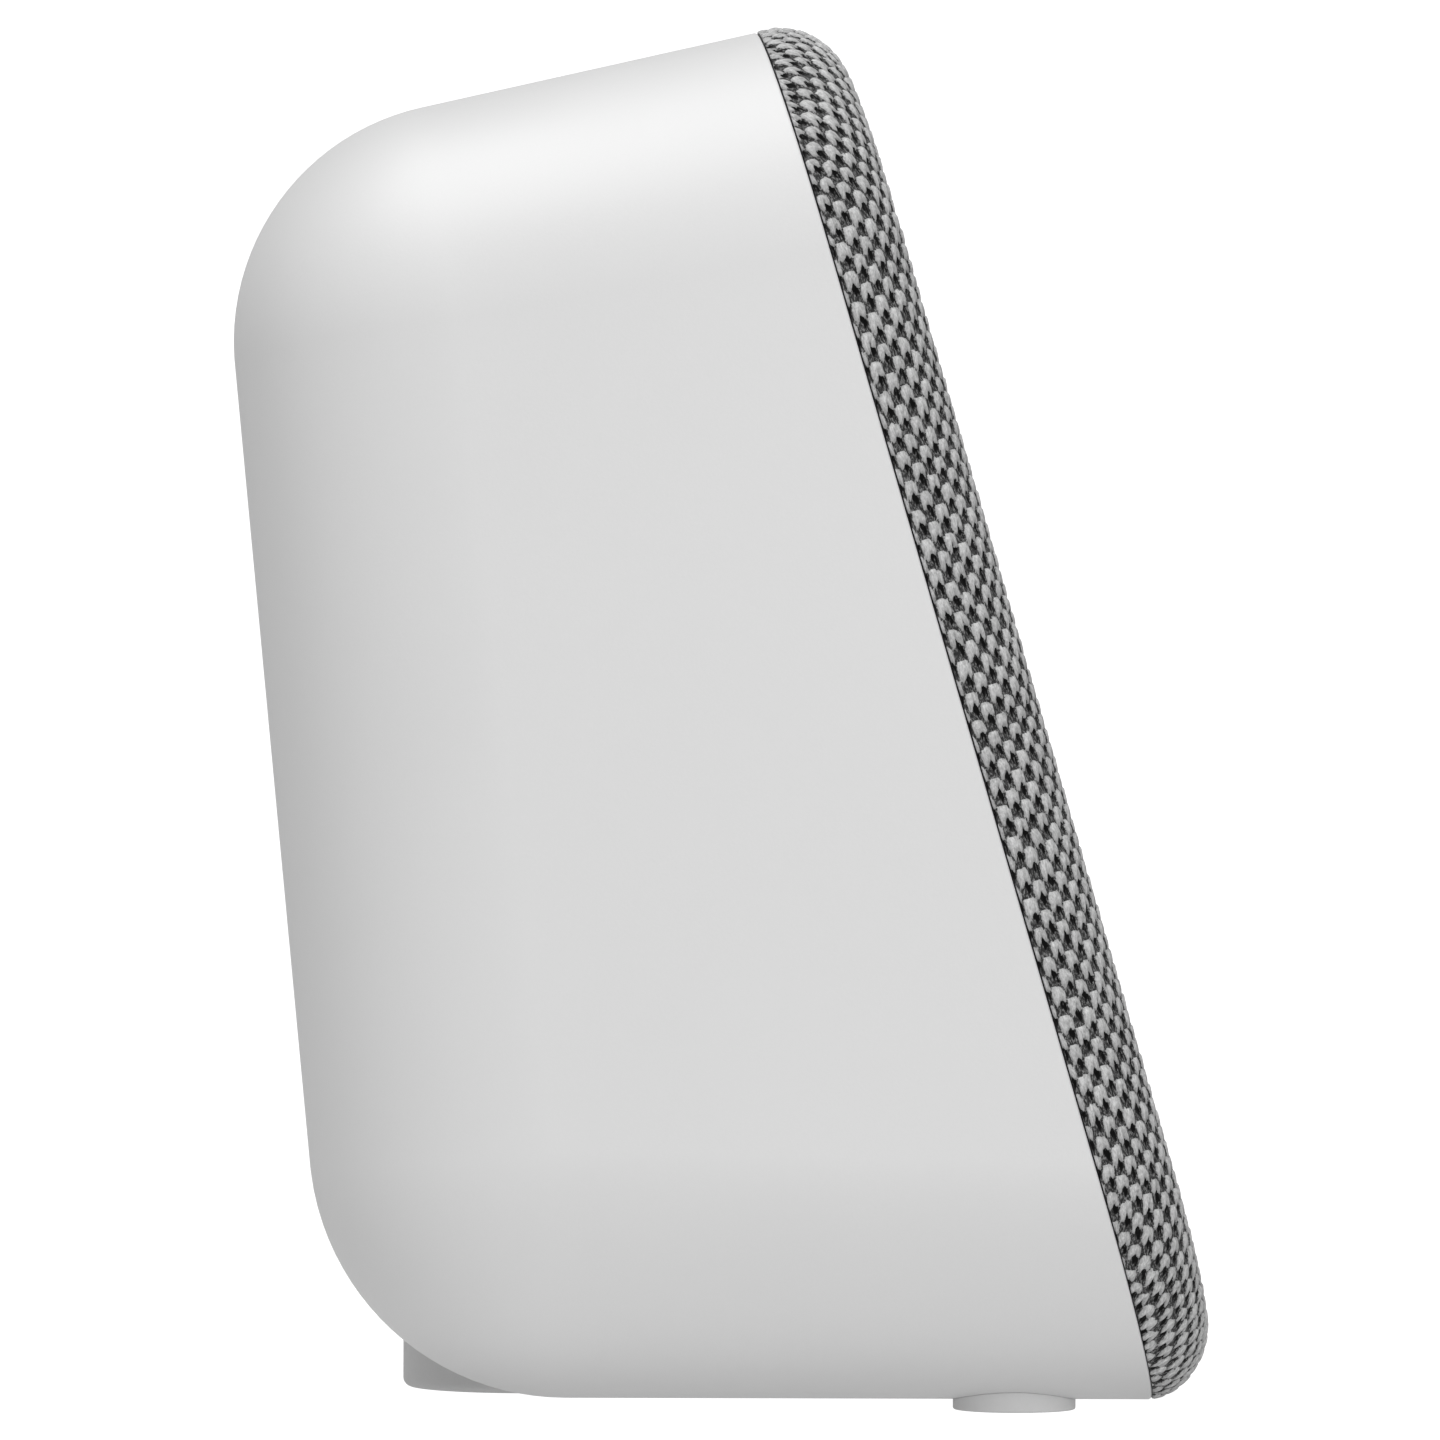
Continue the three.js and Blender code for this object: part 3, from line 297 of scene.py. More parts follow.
def boxed_outline(width, height, corner, x=0.0, y=0.0, steps=10):
    """A rounded rectangle in the same form."""

    def outline(out):
        found = []
        centres = [(1, -1, -90), (1, 1, 0), (-1, 1, 90), (-1, -1, 180)]
        for sx, sy, start in centres:
            cx = x + sx * (width / 2 - corner)
            cy = y + sy * (height / 2 - corner)
            for i in range(steps + 1):
                t = math.radians(start + 90 * i / steps)
                c, s = math.cos(t), math.sin(t)
                found.append((cx + (corner + out) * c, cy + (corner + out) * s, c, s))
        return found

    return outline


def rings(skin, place, outline, profile, inward=False):
    """A wall round an outline: profile lists (let out, z, normal out, normal z)."""
    rows, normals = [], []
    sign = -1 if inward else 1
    for out, z, n_out, n_z in profile:
        loop = outline(out)
        rows.append([place.at(x, y, z) for x, y, _, _ in loop])
        normals.append([place.way(sign * n_out * ox, sign * n_out * oy, n_z) for _, _, ox, oy in loop])
    skin.grid(rows, normals, closed=True)
    return rows


def rounded_lip(radius, z=0.0, steps=4, side=1):
    """A rounded edge below a face at z, for rings: round a hole, or round a boss with side -1."""
    found = []
    for i in range(steps + 1):
        t = math.pi / 2 * i / steps
        c, s = math.cos(t), math.sin(t)
        found.append((side * radius * (1 - s), z - radius * (1 - c), s, c))
    return found


CORNER_STEPS = 28
SIDE_STEPS = 24
WALL_STEPS = 6
BALL_STEPS = 24
FILLET_STEPS = 5


def cabinet_columns(inset):
    """Columns of points and normals round the rim, each running back over a rear ball."""
    columns = []
    half = WIDTH / 2 - RIM_CORNER
    small = RIM_CORNER - inset
    for side, start, turn_to in ((1, -90, 0), (1, 0, 90), (-1, 90, 180), (-1, 180, 270)):
        upper = ball_between(TOP_OUT, rim_head, REAR_OUT, rear_base, UPPER_BALL, side)
        lower = ball_between(REAR_OUT, rear_base, UNDER_OUT, rim_foot, LOWER_BALL, side)
        is_top = start in (0, 90)
        centre = upper if is_top else lower
        radius = (UPPER_BALL if is_top else LOWER_BALL) - inset
        side_out = side * RIM_ACROSS * math.cos(SIDE_DRAFT) - RIM_OUT * math.sin(SIDE_DRAFT)
        axis = unit(upper - lower)
        share_out = float(axis @ REAR_OUT)
        flat_side = unit(side_out - share_out * axis)
        flat_rear = unit(REAR_OUT - share_out * axis)
        corner_y = RIM_LENGTH - RIM_CORNER if is_top else RIM_CORNER
        corner = rim_foot + side * half * RIM_ACROSS + corner_y * RIM_UP
        arc = []
        for i in range(CORNER_STEPS + 1):
            t = math.radians(start + (turn_to - start) * i / CORNER_STEPS)
            out = math.cos(t) * RIM_ACROSS + math.sin(t) * RIM_UP
            p = corner + small * out
            a, b = out @ (p - centre), RIM_OUT @ (p - centre)
            tilt = math.atan2(b, a) - math.acos(radius / math.hypot(a, b))
            n = math.cos(tilt) * out + math.sin(tilt) * RIM_OUT
            q = centre + radius * n
            back = unit(q - p)
            points, normals = [], []
            if not inset:
                for k in range(FILLET_STEPS, 0, -1):
                    turn = math.pi / 2 * k / FILLET_STEPS
                    way = math.cos(turn) * n - math.sin(turn) * back
                    points.append(p + RIM_FILLET * (back - n) + RIM_FILLET * way)
                    normals.append(way)
            first = p if inset else p + RIM_FILLET * back
            for k in range(WALL_STEPS + 1):
                points.append(first + (q - first) * k / WALL_STEPS)
                normals.append(n)
            near_side = abs(math.cos(t))
            for k in range(1, BALL_STEPS + 1):
                s = k / BALL_STEPS
                along_cone = share_out * axis + math.sqrt(1 - share_out**2) * slerp(flat_side, flat_rear, s)
                way = slerp(n, REAR_OUT, s) + near_side * (along_cone - slerp(side_out, REAR_OUT, s))
                way = unit(way)
                points.append(centre + radius * way)
                normals.append(way)
            arc.append((np.array(points), np.array(normals)))
        columns.append(arc)
    return columns


def cabinet_skin(skin, inset, holes_top, holes_rear):
    """One side of the shell's wall: outer for inset 0, inner for inset WALL."""
    arcs = cabinet_columns(inset)
    sign = -1 if inset else 1
    edge_rows = 0 if inset else FILLET_STEPS
    loop = []
    for k, arc in enumerate(arcs):
        loop += [(p, n, k == 1 and i == len(arc) - 1) for i, (p, n) in enumerate(arc)]
        (p0, n0), (p1, n1) = arc[-1], arcs[(k + 1) % 4][0]
        for i in range(1, SIDE_STEPS):
            s = i / SIDE_STEPS
            loop.append((p0 + (p1 - p0) * s, n0 + (n1 - n0) * s, k == 1))
    total = len(loop)
    top_start = [i for i in range(total) if loop[i][2]]
    for i in range(total):
        (pa, na, top_face), (pb, nb, _) = loop[i], loop[(i + 1) % total]
        for k in range(len(pa) - 1):
            if top_face and edge_rows <= k < edge_rows + WALL_STEPS:
                continue
            normals = [sign * n for n in (na[k], nb[k], nb[k + 1], na[k + 1])]
            skin.face([pa[k], pb[k], pb[k + 1], pa[k + 1]], normals)
    first, last = top_start[0], top_start[-1] + 1
    front_row, back_row = edge_rows, edge_rows + WALL_STEPS
    outer = [loop[i][0][front_row] for i in range(first, last + 1)]
    outer += [loop[last][0][k] for k in range(front_row + 1, back_row)]
    outer += [loop[i][0][back_row] for i in range(last, first - 1, -1)]
    outer += [loop[first][0][k] for k in range(back_row - 1, front_row, -1)]
    skin.flat([outer, *holes_top], sign * TOP_OUT)
    rear = []
    for p, _, _ in loop:
        if not rear or np.linalg.norm(p[-1] - rear[-1]) > 1e-3:
            rear.append(p[-1])
    if np.linalg.norm(rear[0] - rear[-1]) < 1e-3:
        rear.pop()
    skin.flat([rear, *holes_rear], sign * REAR_OUT)
    return [p[0] for p, _, _ in loop]


lower_ball = ball_between(REAR_OUT, rear_base, UNDER_OUT, rim_foot, LOWER_BALL, 1)
upper_ball = ball_between(TOP_OUT, rim_head, REAR_OUT, rear_base, UPPER_BALL, 1)
rear_low = lower_ball + LOWER_BALL * REAR_OUT
rear_high = upper_ball + UPPER_BALL * REAR_OUT
rear_flat = np.linalg.norm((rear_high - rear_low)[1:])
top_place = Place(rim_head, RIM_ACROSS, TOP_OUT)
rear_place = Place(np.array([0, rear_low[1], rear_low[2]]), -RIM_ACROSS, REAR_OUT)
mute_up = rear_flat - MUTE_FROM_HEAD

key_hole = KEY_RADIUS + GAP
top_holes = [(round_outline(key_hole, x, KEYS_FROM_RIM, 64), KEY_LIP) for x in KEY_X]
for side in (-1, 1):
    hole = round_outline(MICROPHONE_HOLE, side * MICROPHONE_X, KEYS_FROM_RIM, 24)
    top_holes.append((hole, MICROPHONE_LIP))
port_outline = boxed_outline(PORT["width"], PORT["height"], PORT["corner"], 0, PORT["up"])
dish_outline = boxed_outline(MUTE_DISH["width"], MUTE_DISH["height"], MUTE_DISH["corner"], 0, mute_up)
slot_outline = boxed_outline(MUTE_SLOT["width"], MUTE_SLOT["height"], MUTE_SLOT["corner"], 0, mute_up)


def housing_mesh():
    skin = Skin()
    outer_top, inner_top, outer_rear, inner_rear = [], [], [], []
    for outline, lip in top_holes:
        profile = rounded_lip(lip) + [(0, -WALL, 1, 0)]
        rows = rings(skin, top_place, outline, profile, inward=True)
        outer_top.append(rows[0])
        inner_top.append(rows[-1])
    to_inside = [(0, -WALL, 1, 0)]
    rows = rings(skin, rear_place, port_outline, rounded_lip(REAR_LIP) + to_inside, inward=True)
    outer_rear.append(rows[0])
    inner_rear.append(rows[-1])
    depth = MUTE_DISH["depth"]
    to_floor = [(0, -depth, 1, 0)]
    dish = rings(skin, rear_place, dish_outline, rounded_lip(REAR_LIP) + to_floor, inward=True)
    outer_rear.append(dish[0])
    lip = rounded_lip(SLOT_LIP, -depth)
    slot = rings(skin, rear_place, slot_outline, lip + to_inside, inward=True)
    skin.flat([dish[-1], slot[0]], REAR_OUT)
    inner_rear.append(slot[-1])
    outside = cabinet_skin(skin, 0, outer_top, outer_rear)
    inside = cabinet_skin(skin, WALL, inner_top, inner_rear)
    skin.grid([outside, inside], [[RIM_OUT] * len(outside)] * 2, closed=True)
    return skin


# Satin moulded plastic: a very fine even grain that softens its shine, and the faint drift in
# tone that light leaves on a large white moulding.
def start_group(name, inputs, outputs):
    group = bpy.data.node_groups.new(name, "ShaderNodeTree")
    for label, kind, value in inputs:
        socket = group.interface.new_socket(label, in_out="INPUT", socket_type="NodeSocket" + kind)
        socket.default_value = value
    for label, kind in outputs:
        group.interface.new_socket(label, in_out="OUTPUT", socket_type="NodeSocket" + kind)
    return group, group.nodes.new("NodeGroupInput").outputs, group.nodes.new("NodeGroupOutput").inputs


def noise(tree, place, scale, detail=2.0, roughness=0.5):
    node = tree.nodes.new("ShaderNodeTexNoise")
    node.inputs["Detail"].default_value = detail
    node.inputs["Roughness"].default_value = roughness
    tree.links.new(place, node.inputs["Vector"])
    if isinstance(scale, (int, float)):
        node.inputs["Scale"].default_value = scale
    else:
        tree.links.new(scale, node.inputs["Scale"])
    return node.outputs["Fac"]


def blend_colour(tree, share, a, b):
    node = tree.nodes.new("ShaderNodeMix")
    node.data_type = "RGBA"
    sockets = [node.inputs[0], node.inputs[6], node.inputs[7]]
    for socket, value in zip(sockets, (share, a, b)):
        if isinstance(value, (int, float, tuple)):
            socket.default_value = value
        else:
            tree.links.new(value, socket)
    return node.outputs[2]


def remap(tree, value, low, high, to_low, to_high):
    node = tree.nodes.new("ShaderNodeMapRange")
    for socket, number in zip(node.inputs, (value, low, high, to_low, to_high)):
        if isinstance(number, (int, float)):
            socket.default_value = number
        else:
            tree.links.new(number, socket)
    return node.outputs[0]


grain, given, made = start_group(
    "moulded_grain",
    [
        ("Light", "Color", (0.8, 0.8, 0.8, 1)),
        ("Dark", "Color", (0.7, 0.7, 0.7, 1)),
        ("Grain Scale", "Float", 2500.0),
        ("Roughness Low", "Float", 0.4),
        ("Roughness High", "Float", 0.5),
    ],
    [("Color", "Color"), ("Roughness", "Float"), ("Height", "Float")],
)
where = grain.nodes.new("ShaderNodeTexCoord").outputs["Object"]
fine = noise(grain, where, given["Grain Scale"], 1.0)
broad = noise(grain, where, 22.0, 3.0)
tone = sums(grain, "MULTIPLY_ADD", sums(grain, "SUBTRACT", fine, 0.5), 0.5, broad)
grain.links.new(blend_colour(grain, tone, given["Dark"], given["Light"]), made["Color"])
grain.links.new(
    remap(grain, tone, 0.3, 0.7, given["Roughness Low"], given["Roughness High"]), made["Roughness"]
)
grain.links.new(fine, made["Height"])


def raise_surface(tree, shader, height, strength, depth):
    """Relief from a height field; depth is in millimetres."""
    raised = tree.nodes.new("ShaderNodeBump")
    raised.inputs["Strength"].default_value = strength
    raised.inputs["Distance"].default_value = depth * MM
    tree.links.new(height, raised.inputs["Height"])
    tree.links.new(raised.outputs["Normal"], shader.inputs["Normal"])


def lay_effect(tree, shader, effect, values, bump, depth):
    """Places a shared effect with this material's own values and links what it gives."""
    group = tree.nodes.new("ShaderNodeGroup")
    group.node_tree = effect
    for label, value in values.items():
        group.inputs[label].default_value = value
    tree.links.new(group.outputs["Color"], shader.inputs["Base Color"])
    tree.links.new(group.outputs["Roughness"], shader.inputs["Roughness"])
    raise_surface(tree, shader, group.outputs["Height"], bump, depth)
    return group


def moulded(name, light, dark, scale=2500.0, rough=(0.4, 0.5), bump=0.02, depth=0.02):
    """A plastic or rubber moulding with that grain."""
    material, tree, shader = new_material(name)
    values = {
        "Light": (*light, 1),
        "Dark": (*dark, 1),
        "Grain Scale": scale,
        "Roughness Low": rough[0],
        "Roughness High": rough[1],
    }
    lay_effect(tree, shader, grain, values, bump, depth)
    return material


white_plastic = moulded("white_plastic", (0.72, 0.72, 0.72), (0.69, 0.69, 0.69), bump=0.25, depth=0.03)
housing = housing_mesh().build("cabinet_housing", "cabinet", "housing", white_plastic, ["housing"])

# ---- Knit front -----------------------------------------------------------------------------
# One piece of double knit in two greys, stretched over the slotted grille and rolled back over
# its rounded edge. Plump light stitches stand on a dark ground, offset from column to column.
COLUMN = 1.58  # across one column of stitches
STITCH = 3.9  # along one stitch
PAD_DEPTH = 9.6
PAD_ROLL = 9.25
PAD_INSET = 0.15
PAD_NIP = 0.15
NIP_REACH = 2.4
TUCK = 2.0
TUCK_ROLL = 0.5
SPACING = (0.26, 0.32)
LOFT = 0.42
SINK = 0.25
DRIFT = (0.5, 0.9)  # how far the stitches stray across and along
UNEVEN = 0.08
WAVES = 14
WAVE_TURN = 0.32  # the usual turn of a wave in one millimetre
PAD_SEAT = 0.2  # how far above the rim the cloth turns in

# Each stitch is three light lobes, a left and a right leg under a round crown, and two dark gaps
# between the legs: (across, down from its top, half width, half length, lean of its line).
LOBES = (
    (-0.42, 1.34, 0.5, 1.44, -0.08),
    (0.37, 1.3, 0.4, 1.14, 0.13),
    (-0.06, 0.7, 0.62, 0.66, 0.0),
)
GAPS = ((-0.02, 2.45, 0.17, 1.1, 0.14), (0.4, 2.6, 0.16, 1.05, 0.12))
TAPER = 0.22
CLEFT_WIDTH = 0.22
COLUMN_STEP = 0.48  # each column starts this share of a stitch past the one before


def lobe(a, b, across, down, half, tall, lean):
    q = (b - down) / tall
    width = half * (1 - TAPER * q)
    return 1 - ((a - across - lean * (b - down)) / width) ** 2 - q**2


def stitch_fields(s, t):
    """The light lobes' and the dark gaps' fields, above 0 inside, and each lobe's tone with its painted
    shade and highlight.
    """
    light, dark = np.full_like(s, -9), np.full_like(s, -9)
    tone = np.zeros_like(s)
    for beside in (-1, 0, 1):
        column = np.floor(s / COLUMN) + beside
        a = s - (column + 0.5) * COLUMN
        r = t / STITCH + COLUMN_STEP * column
        b = (1 - (r - np.floor(r))) * STITCH
        # Each stitch draws its own lot between 0 and 1, which makes it plumper and paler.
        lot = np.mod(np.sin(column * 12.9898 + np.floor(r) * 78.233) * 43758.5453, 1)
        plump = 0.92 + 0.16 * lot
        arms = []
        for across, down, half, tall, lean in LOBES:
            arms.append(lobe(a, b, across, down, half * plump, tall * plump, lean))
        field = np.maximum.reduce(arms)
        # The right leg is a little darker. Painted shade darkens the cleft between the legs, and painted
        # light makes each stitch paler at the top and darker towards the bottom.
        cleft = np.exp(-(((arms[0] - arms[1]) / CLEFT_WIDTH) ** 2))
        lobe_tone_and_shade = (0.9 + 0.12 * lot - 0.1 * (arms[1] > arms[0]) - 0.22 * cleft) * (1.16 - 0.13 * b)
        tone = np.where(field > light, lobe_tone_and_shade, tone)
        light = np.maximum(light, field)
        for form in GAPS:
            dark = np.maximum(dark, lobe(a, b, *form))
    return light, dark, tone


def wander(s, t, seed):
    """Smooth drift of the stitches, as a sum of long waves with set phases."""
    chance = np.random.default_rng(seed)
    total = np.zeros_like(s)
    for _ in range(WAVES):
        k = chance.normal(0, WAVE_TURN, 2)
        total += np.sin(k[0] * s + k[1] * t + chance.uniform(0, 2 * np.pi))
    return total / WAVES


def knit_front():
    reach = PAD_ROLL * math.pi / 2
    straight = PAD_DEPTH - PAD_ROLL - PAD_SEAT
    limit = reach + straight + TUCK_ROLL * math.pi / 2 + TUCK
    half = WIDTH / 2 - PAD_INSET - PAD_ROLL
    tall = RIM_LENGTH / 2 - PAD_INSET - PAD_ROLL
    corner = RIM_CORNER - PAD_INSET - PAD_ROLL
    across = np.arange(-half - limit - SPACING[0], half + limit + 2 * SPACING[0], SPACING[0])
    along = np.arange(-tall - limit - SPACING[1], tall + limit + 2 * SPACING[1], SPACING[1])
    s, t = np.meshgrid(across, along)
    qx, qy = np.abs(s) - (half - corner), np.abs(t) - (tall - corner)
    away = np.hypot(np.maximum(qx, 0), np.maximum(qy, 0))
    d = away + np.minimum(np.maximum(qx, qy), 0) - corner
    safe = np.where(away > 1e-9, away, 1)
    ux = np.where(away > 1e-9, np.maximum(qx, 0) / safe, (qx > qy)) * np.sign(s)
    uy = np.where(away > 1e-9, np.maximum(qy, 0) / safe, (qx <= qy)) * np.sign(t)
    length = np.hypot(ux, uy)
    ux, uy = ux / length, uy / length
    beyond = d
    d = np.minimum(d, limit)
    rolled = np.clip(d, 0, reach) / PAD_ROLL
    out = np.where(d > 0, PAD_ROLL * np.sin(rolled), 0)
    z = PAD_DEPTH - PAD_ROLL * (1 - np.cos(rolled))
    past = np.clip(d - reach, 0, straight)
    z = z - past
    turned = np.clip(d - reach - straight, 0, TUCK_ROLL * math.pi / 2) / TUCK_ROLL
    out = out - TUCK_ROLL * (1 - np.cos(turned))
    inward = np.clip(d - reach - straight - TUCK_ROLL * math.pi / 2, 0, TUCK)
    out = out - inward
    nx_out = np.where(d > 0, np.sin(rolled), 0)
    nz = np.where(d > 0, np.cos(rolled), 1)
    near = np.clip((z - PAD_SEAT) / NIP_REACH, 0, 1)
    nip = PAD_NIP * (1 - near * near * (3 - 2 * near)) * (d > 0)
    drift_s = s + DRIFT[0] * (wander(s, t, 11) + 0.5 * wander(4 * s, 4 * t, 14))
    drift_t = t + DRIFT[1] * (wander(s, t, 12) + 0.5 * wander(4 * s, 4 * t, 15))
    light, dark, tone = stitch_fields(drift_s, drift_t)
    relief = LOFT * np.clip(light, 0, 1) ** 0.6 * tone - SINK * np.clip(dark, 0, 1) * (light <= 0)
    relief = relief + UNEVEN * wander(3 * s, 3 * t, 13)
    fade = 1 - np.clip((d - reach - straight) / TUCK_ROLL, 0, 1)
    relief = relief * fade
    inner = np.clip(d, None, 0)
    x = s - ux * (beyond - inner) + ux * (out - nip + nx_out * relief)
    y = t - uy * (beyond - inner) + uy * (out - nip + nx_out * relief)
    z = z + nz * relief
    rows, cols = s.shape
    local = np.stack([x, y + RIM_LENGTH / 2, z], -1).reshape(-1, 3)
    points = rim_foot + local @ np.array([RIM_ACROSS, RIM_UP, RIM_OUT])
    i = np.arange(rows * cols).reshape(rows, cols)
    quads = np.stack([i[:-1, :-1], i[:-1, 1:], i[1:, 1:], i[1:, :-1]], -1).reshape(-1, 4)
    kept = (beyond.reshape(-1)[quads] < limit).sum(1) >= 2
    quads = quads[kept]
    used = np.unique(quads)
    renumber = np.full(rows * cols, -1)
    renumber[used] = np.arange(len(used))
    quads = renumber[quads]
    points = points[used] * MM
    mesh = bpy.data.meshes.new("knit_front")
    mesh.vertices.add(len(points))
    mesh.vertices.foreach_set("co", points.astype(np.float32).ravel())
    mesh.loops.add(quads.size)
    mesh.loops.foreach_set("vertex_index", quads.astype(np.int32).ravel())
    mesh.polygons.add(len(quads))
    mesh.polygons.foreach_set("loop_start", np.arange(0, quads.size, 4, dtype=np.int32))
    mesh.update(calc_edges=True)
    mesh.validate()
    mesh.shade_smooth()
    for label, values in (("crown", light), ("gap", dark), ("tone", tone)):
        attribute = mesh.attributes.new(label, "FLOAT", "POINT")
        attribute.data.foreach_set("value", values.ravel()[used].astype(np.float32))
    stitches = np.stack([drift_s.ravel()[used] / COLUMN, drift_t.ravel()[used] / STITCH], -1)
    layer = mesh.uv_layers.new(name="stitches")
    corners = np.empty(len(mesh.loops), np.int32)
    mesh.loops.foreach_get("vertex_index", corners)
    layer.data.foreach_set("uv", stitches[corners].astype(np.float32).ravel())
    piece = bpy.data.objects.new("knit_front", mesh)
    bpy.context.scene.collection.objects.link(piece)
    flat = (2 * (half + limit) * MM, 2 * (tall + limit) * MM)
    return piece, flat


# The yarn's colours follow the same stitches: light plump loops, a dark ground, and two gaps under each
# loop painted near-black as shade, with fibres along the yarn. The loops also carry painted shade, darker
# towards their edges.
LIGHT_YARN = ((0.37, 0.37, 0.37, 1), (0.76, 0.76, 0.76, 1))
DARK_YARN = ((0.03, 0.03, 0.03, 1), (0.3, 0.3, 0.3, 1))
# Painted shade: the near-black that fills the gaps under the loops.
SHADED_YARN = (0.004, 0.004, 0.004, 1)


def knit_material():
    material, tree, shader = new_material("two_grey_knit")

    def woven_in(label):
        node = tree.nodes.new("ShaderNodeAttribute")
        node.attribute_name = label
        return node.outputs["Fac"]

    uv = tree.nodes.new("ShaderNodeUVMap")
    uv.uv_map = "stitches"

    def yarn_noise(across, along, detail):
        stretch = tree.nodes.new("ShaderNodeMapping")
        stretch.inputs["Scale"].default_value = (across, along, 1)
        tree.links.new(uv.outputs["UV"], stretch.inputs["Vector"])
        return noise(tree, stretch.outputs[0], 1.0, detail, 0.65)

    fibre = remap(tree, yarn_noise(7.5, 6.5, 4.0), 0.32, 0.68, 0.0, 1.0)
    fray = sums(tree, "MULTIPLY_ADD", yarn_noise(5, 6, 2.0), 1.1, -0.55)
    crown = sums(tree, "ADD", woven_in("crown"), fray)
    gap = sums(tree, "ADD", woven_in("gap"), fray)
    light = remap(tree, crown, 0.0, 0.14, 0.0, 1.0)
    rounding_shade = remap(tree, crown, 0.0, 0.9, 0.0, 1.0)
    dark = remap(tree, gap, -0.5, 0.0, 0.0, 1.0)
    yarn = blend_colour(tree, fibre, *LIGHT_YARN)
    # Painted shade: each loop is darker towards its edges, and it takes its lobe's tone with the painted
    # shade and highlight.
    shade = sums(tree, "MULTIPLY", sums(tree, "MULTIPLY_ADD", rounding_shade, 0.3, 0.74), woven_in("tone"))
    tinted = tree.nodes.new("ShaderNodeVectorMath")
    tinted.operation = "SCALE"
    tree.links.new(yarn, tinted.inputs[0])
    tree.links.new(shade, tinted.inputs["Scale"])
    fleck = remap(tree, fibre, 0.45, 0.95, 0.0, 1.0)
    ground = blend_colour(tree, fleck, *DARK_YARN)
    # Painted shade: the ground turns near-black inside each gap.
    ground = blend_colour(tree, dark, ground, SHADED_YARN)
    colour = blend_colour(tree, light, ground, tinted.outputs[0])
    tree.links.new(colour, shader.inputs["Base Color"])
    tree.links.new(remap(tree, fibre, 0.0, 1.0, 0.85, 1.0), shader.inputs["Roughness"])
    shader.inputs["Specular IOR Level"].default_value = 0.12
    shader.inputs["Sheen Weight"].default_value = 0.05
    raise_surface(tree, shader, fibre, 0.6, 0.16)
    return material


knit, knit_flat = knit_front()
knit.data.materials.append(knit_material())
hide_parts("grille_fabric")
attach(knit, "cabinet")

# ---- Feet ----------------------------------------------------------------------------------
# Three turned pads of grey rubber glued under the cabinet: two small ones near the rim and a wide
# one behind. Their tops follow the curve of the underside.
FEET = {
    "front_foot_left": (-47, 17.75, 8, 0.3),
    "front_foot_right": (47, 17.75, 8, 0.3),
    "rear_foot": (0, 81.7, 18, 1.2),
}
FOOT_STEPS = 96
FOOT_GLUE = 0.04
FOOT_THINNEST = 0.05  # above the rounded edge
GROOVE = (0.5, 0.62)  # a ring in the underside, as shares of the radius
GROOVE_RISE = 0.25
GROOVE_FLARE = 0.3
shell = BVHTree.FromPolygons(
    [v.co.copy() for v in housing.data.vertices], [list(f.vertices) for f in housing.data.polygons]
)


def under_cabinet(x, y):
    """How high the cabinet's outside is above the table at this place."""
    hit = shell.ray_cast(Vector((x * MM, y * MM, -0.01)), Vector((0, 0, 1)))[0]
    return hit.z / MM


def turned_foot(name, x, behind, radius, edge):
    skin = Skin()
    y = rim_foot[1] + behind
    table = Place(np.array([x, y, 0.0]), RIM_ACROSS, np.array([0, 0, 1.0]))
    near, far = GROOVE[0] * radius, GROOVE[1] * radius
    profile = [(0.0, 0.0, 0, -1), (near, 0.0, 0, -1), (near + GROOVE_FLARE, GROOVE_RISE, 0, -1)]
    profile += [(far, GROOVE_RISE, 0, -1), (far + GROOVE_FLARE, 0.0, 0, -1)]
    for out, z, n_out, n_z in rounded_lip(edge, steps=6, side=-1):
        profile.append((radius + out, -z, n_out, -n_z))
    rows, normals = [], []
    turns = [2 * math.pi * i / FOOT_STEPS for i in range(FOOT_STEPS)]
    for out, z, n_out, n_z in profile:
        rows.append([table.at(out * math.cos(t), out * math.sin(t), z) for t in turns])
        normals.append([table.way(n_out * math.cos(t), n_out * math.sin(t), n_z) for t in turns])
    skin.grid(rows, normals, closed=True)
    wall = rows[-1]
    tops = []
    for share in (1.0, 0.9, 0.6, 0.3, 0.0):
        ring = []
        for t in turns:
            px, py = x + share * radius * math.cos(t), y + share * radius * math.sin(t)
            height = max(under_cabinet(px, py) - FOOT_GLUE, edge + FOOT_THINNEST)
            ring.append(np.array([px, py, height]))
        tops.append(ring)
    skin.grid([wall, tops[0]], [[table.way(math.cos(t), math.sin(t)) for t in turns]] * 2, closed=True)
    skin.grid(tops, [[np.array([0, 0, 1.0])] * FOOT_STEPS] * 5, closed=True)
    return skin


foot_rubber = moulded("grey_foot_rubber", (0.68, 0.68, 0.68), (0.62, 0.62, 0.62), 1800.0, (0.7, 0.85), 0.3)
for name, form in FEET.items():
    turned_foot(name, *form).build("pad_" + name, "cabinet", "foot", foot_rubber, [name])

# ---- Keys ------------------------------------------------------------------------------------
# Four round keys of white plastic in the top, each with a skirt that holds it under the wall and
# a stem over its switch. Plain marks are sunk in their faces and filled with grey paint.
KEY_PROUD = 0.3
KEY_EDGE = 0.45
KEY_SKIRT = 1.4
SKIRT_Z = (-2.7, -3.9)
STEM_RADIUS = 1.5
STEM_END = -6.4
MARK_DEPTH = 0.12
MARK_LINE = 0.7
MARK_REACH = 2.2
MARK_DOT = 0.8


def turned(skin, place, x, y, profile, steps=64):
    """A round body about (x, y): profile lists (radius, z, normal out, normal z)."""
    rows, normals = [], []
    for radius, z, n_out, n_z in profile:
        loop = round_outline(radius, x, y, steps)(0)
        rows.append([place.at(px, py, z) for px, py, _, _ in loop])
        normals.append([place.way(n_out * ox, n_out * oy, n_z) for _, _, ox, oy in loop])
    skin.grid(rows, normals, closed=True)
    return rows


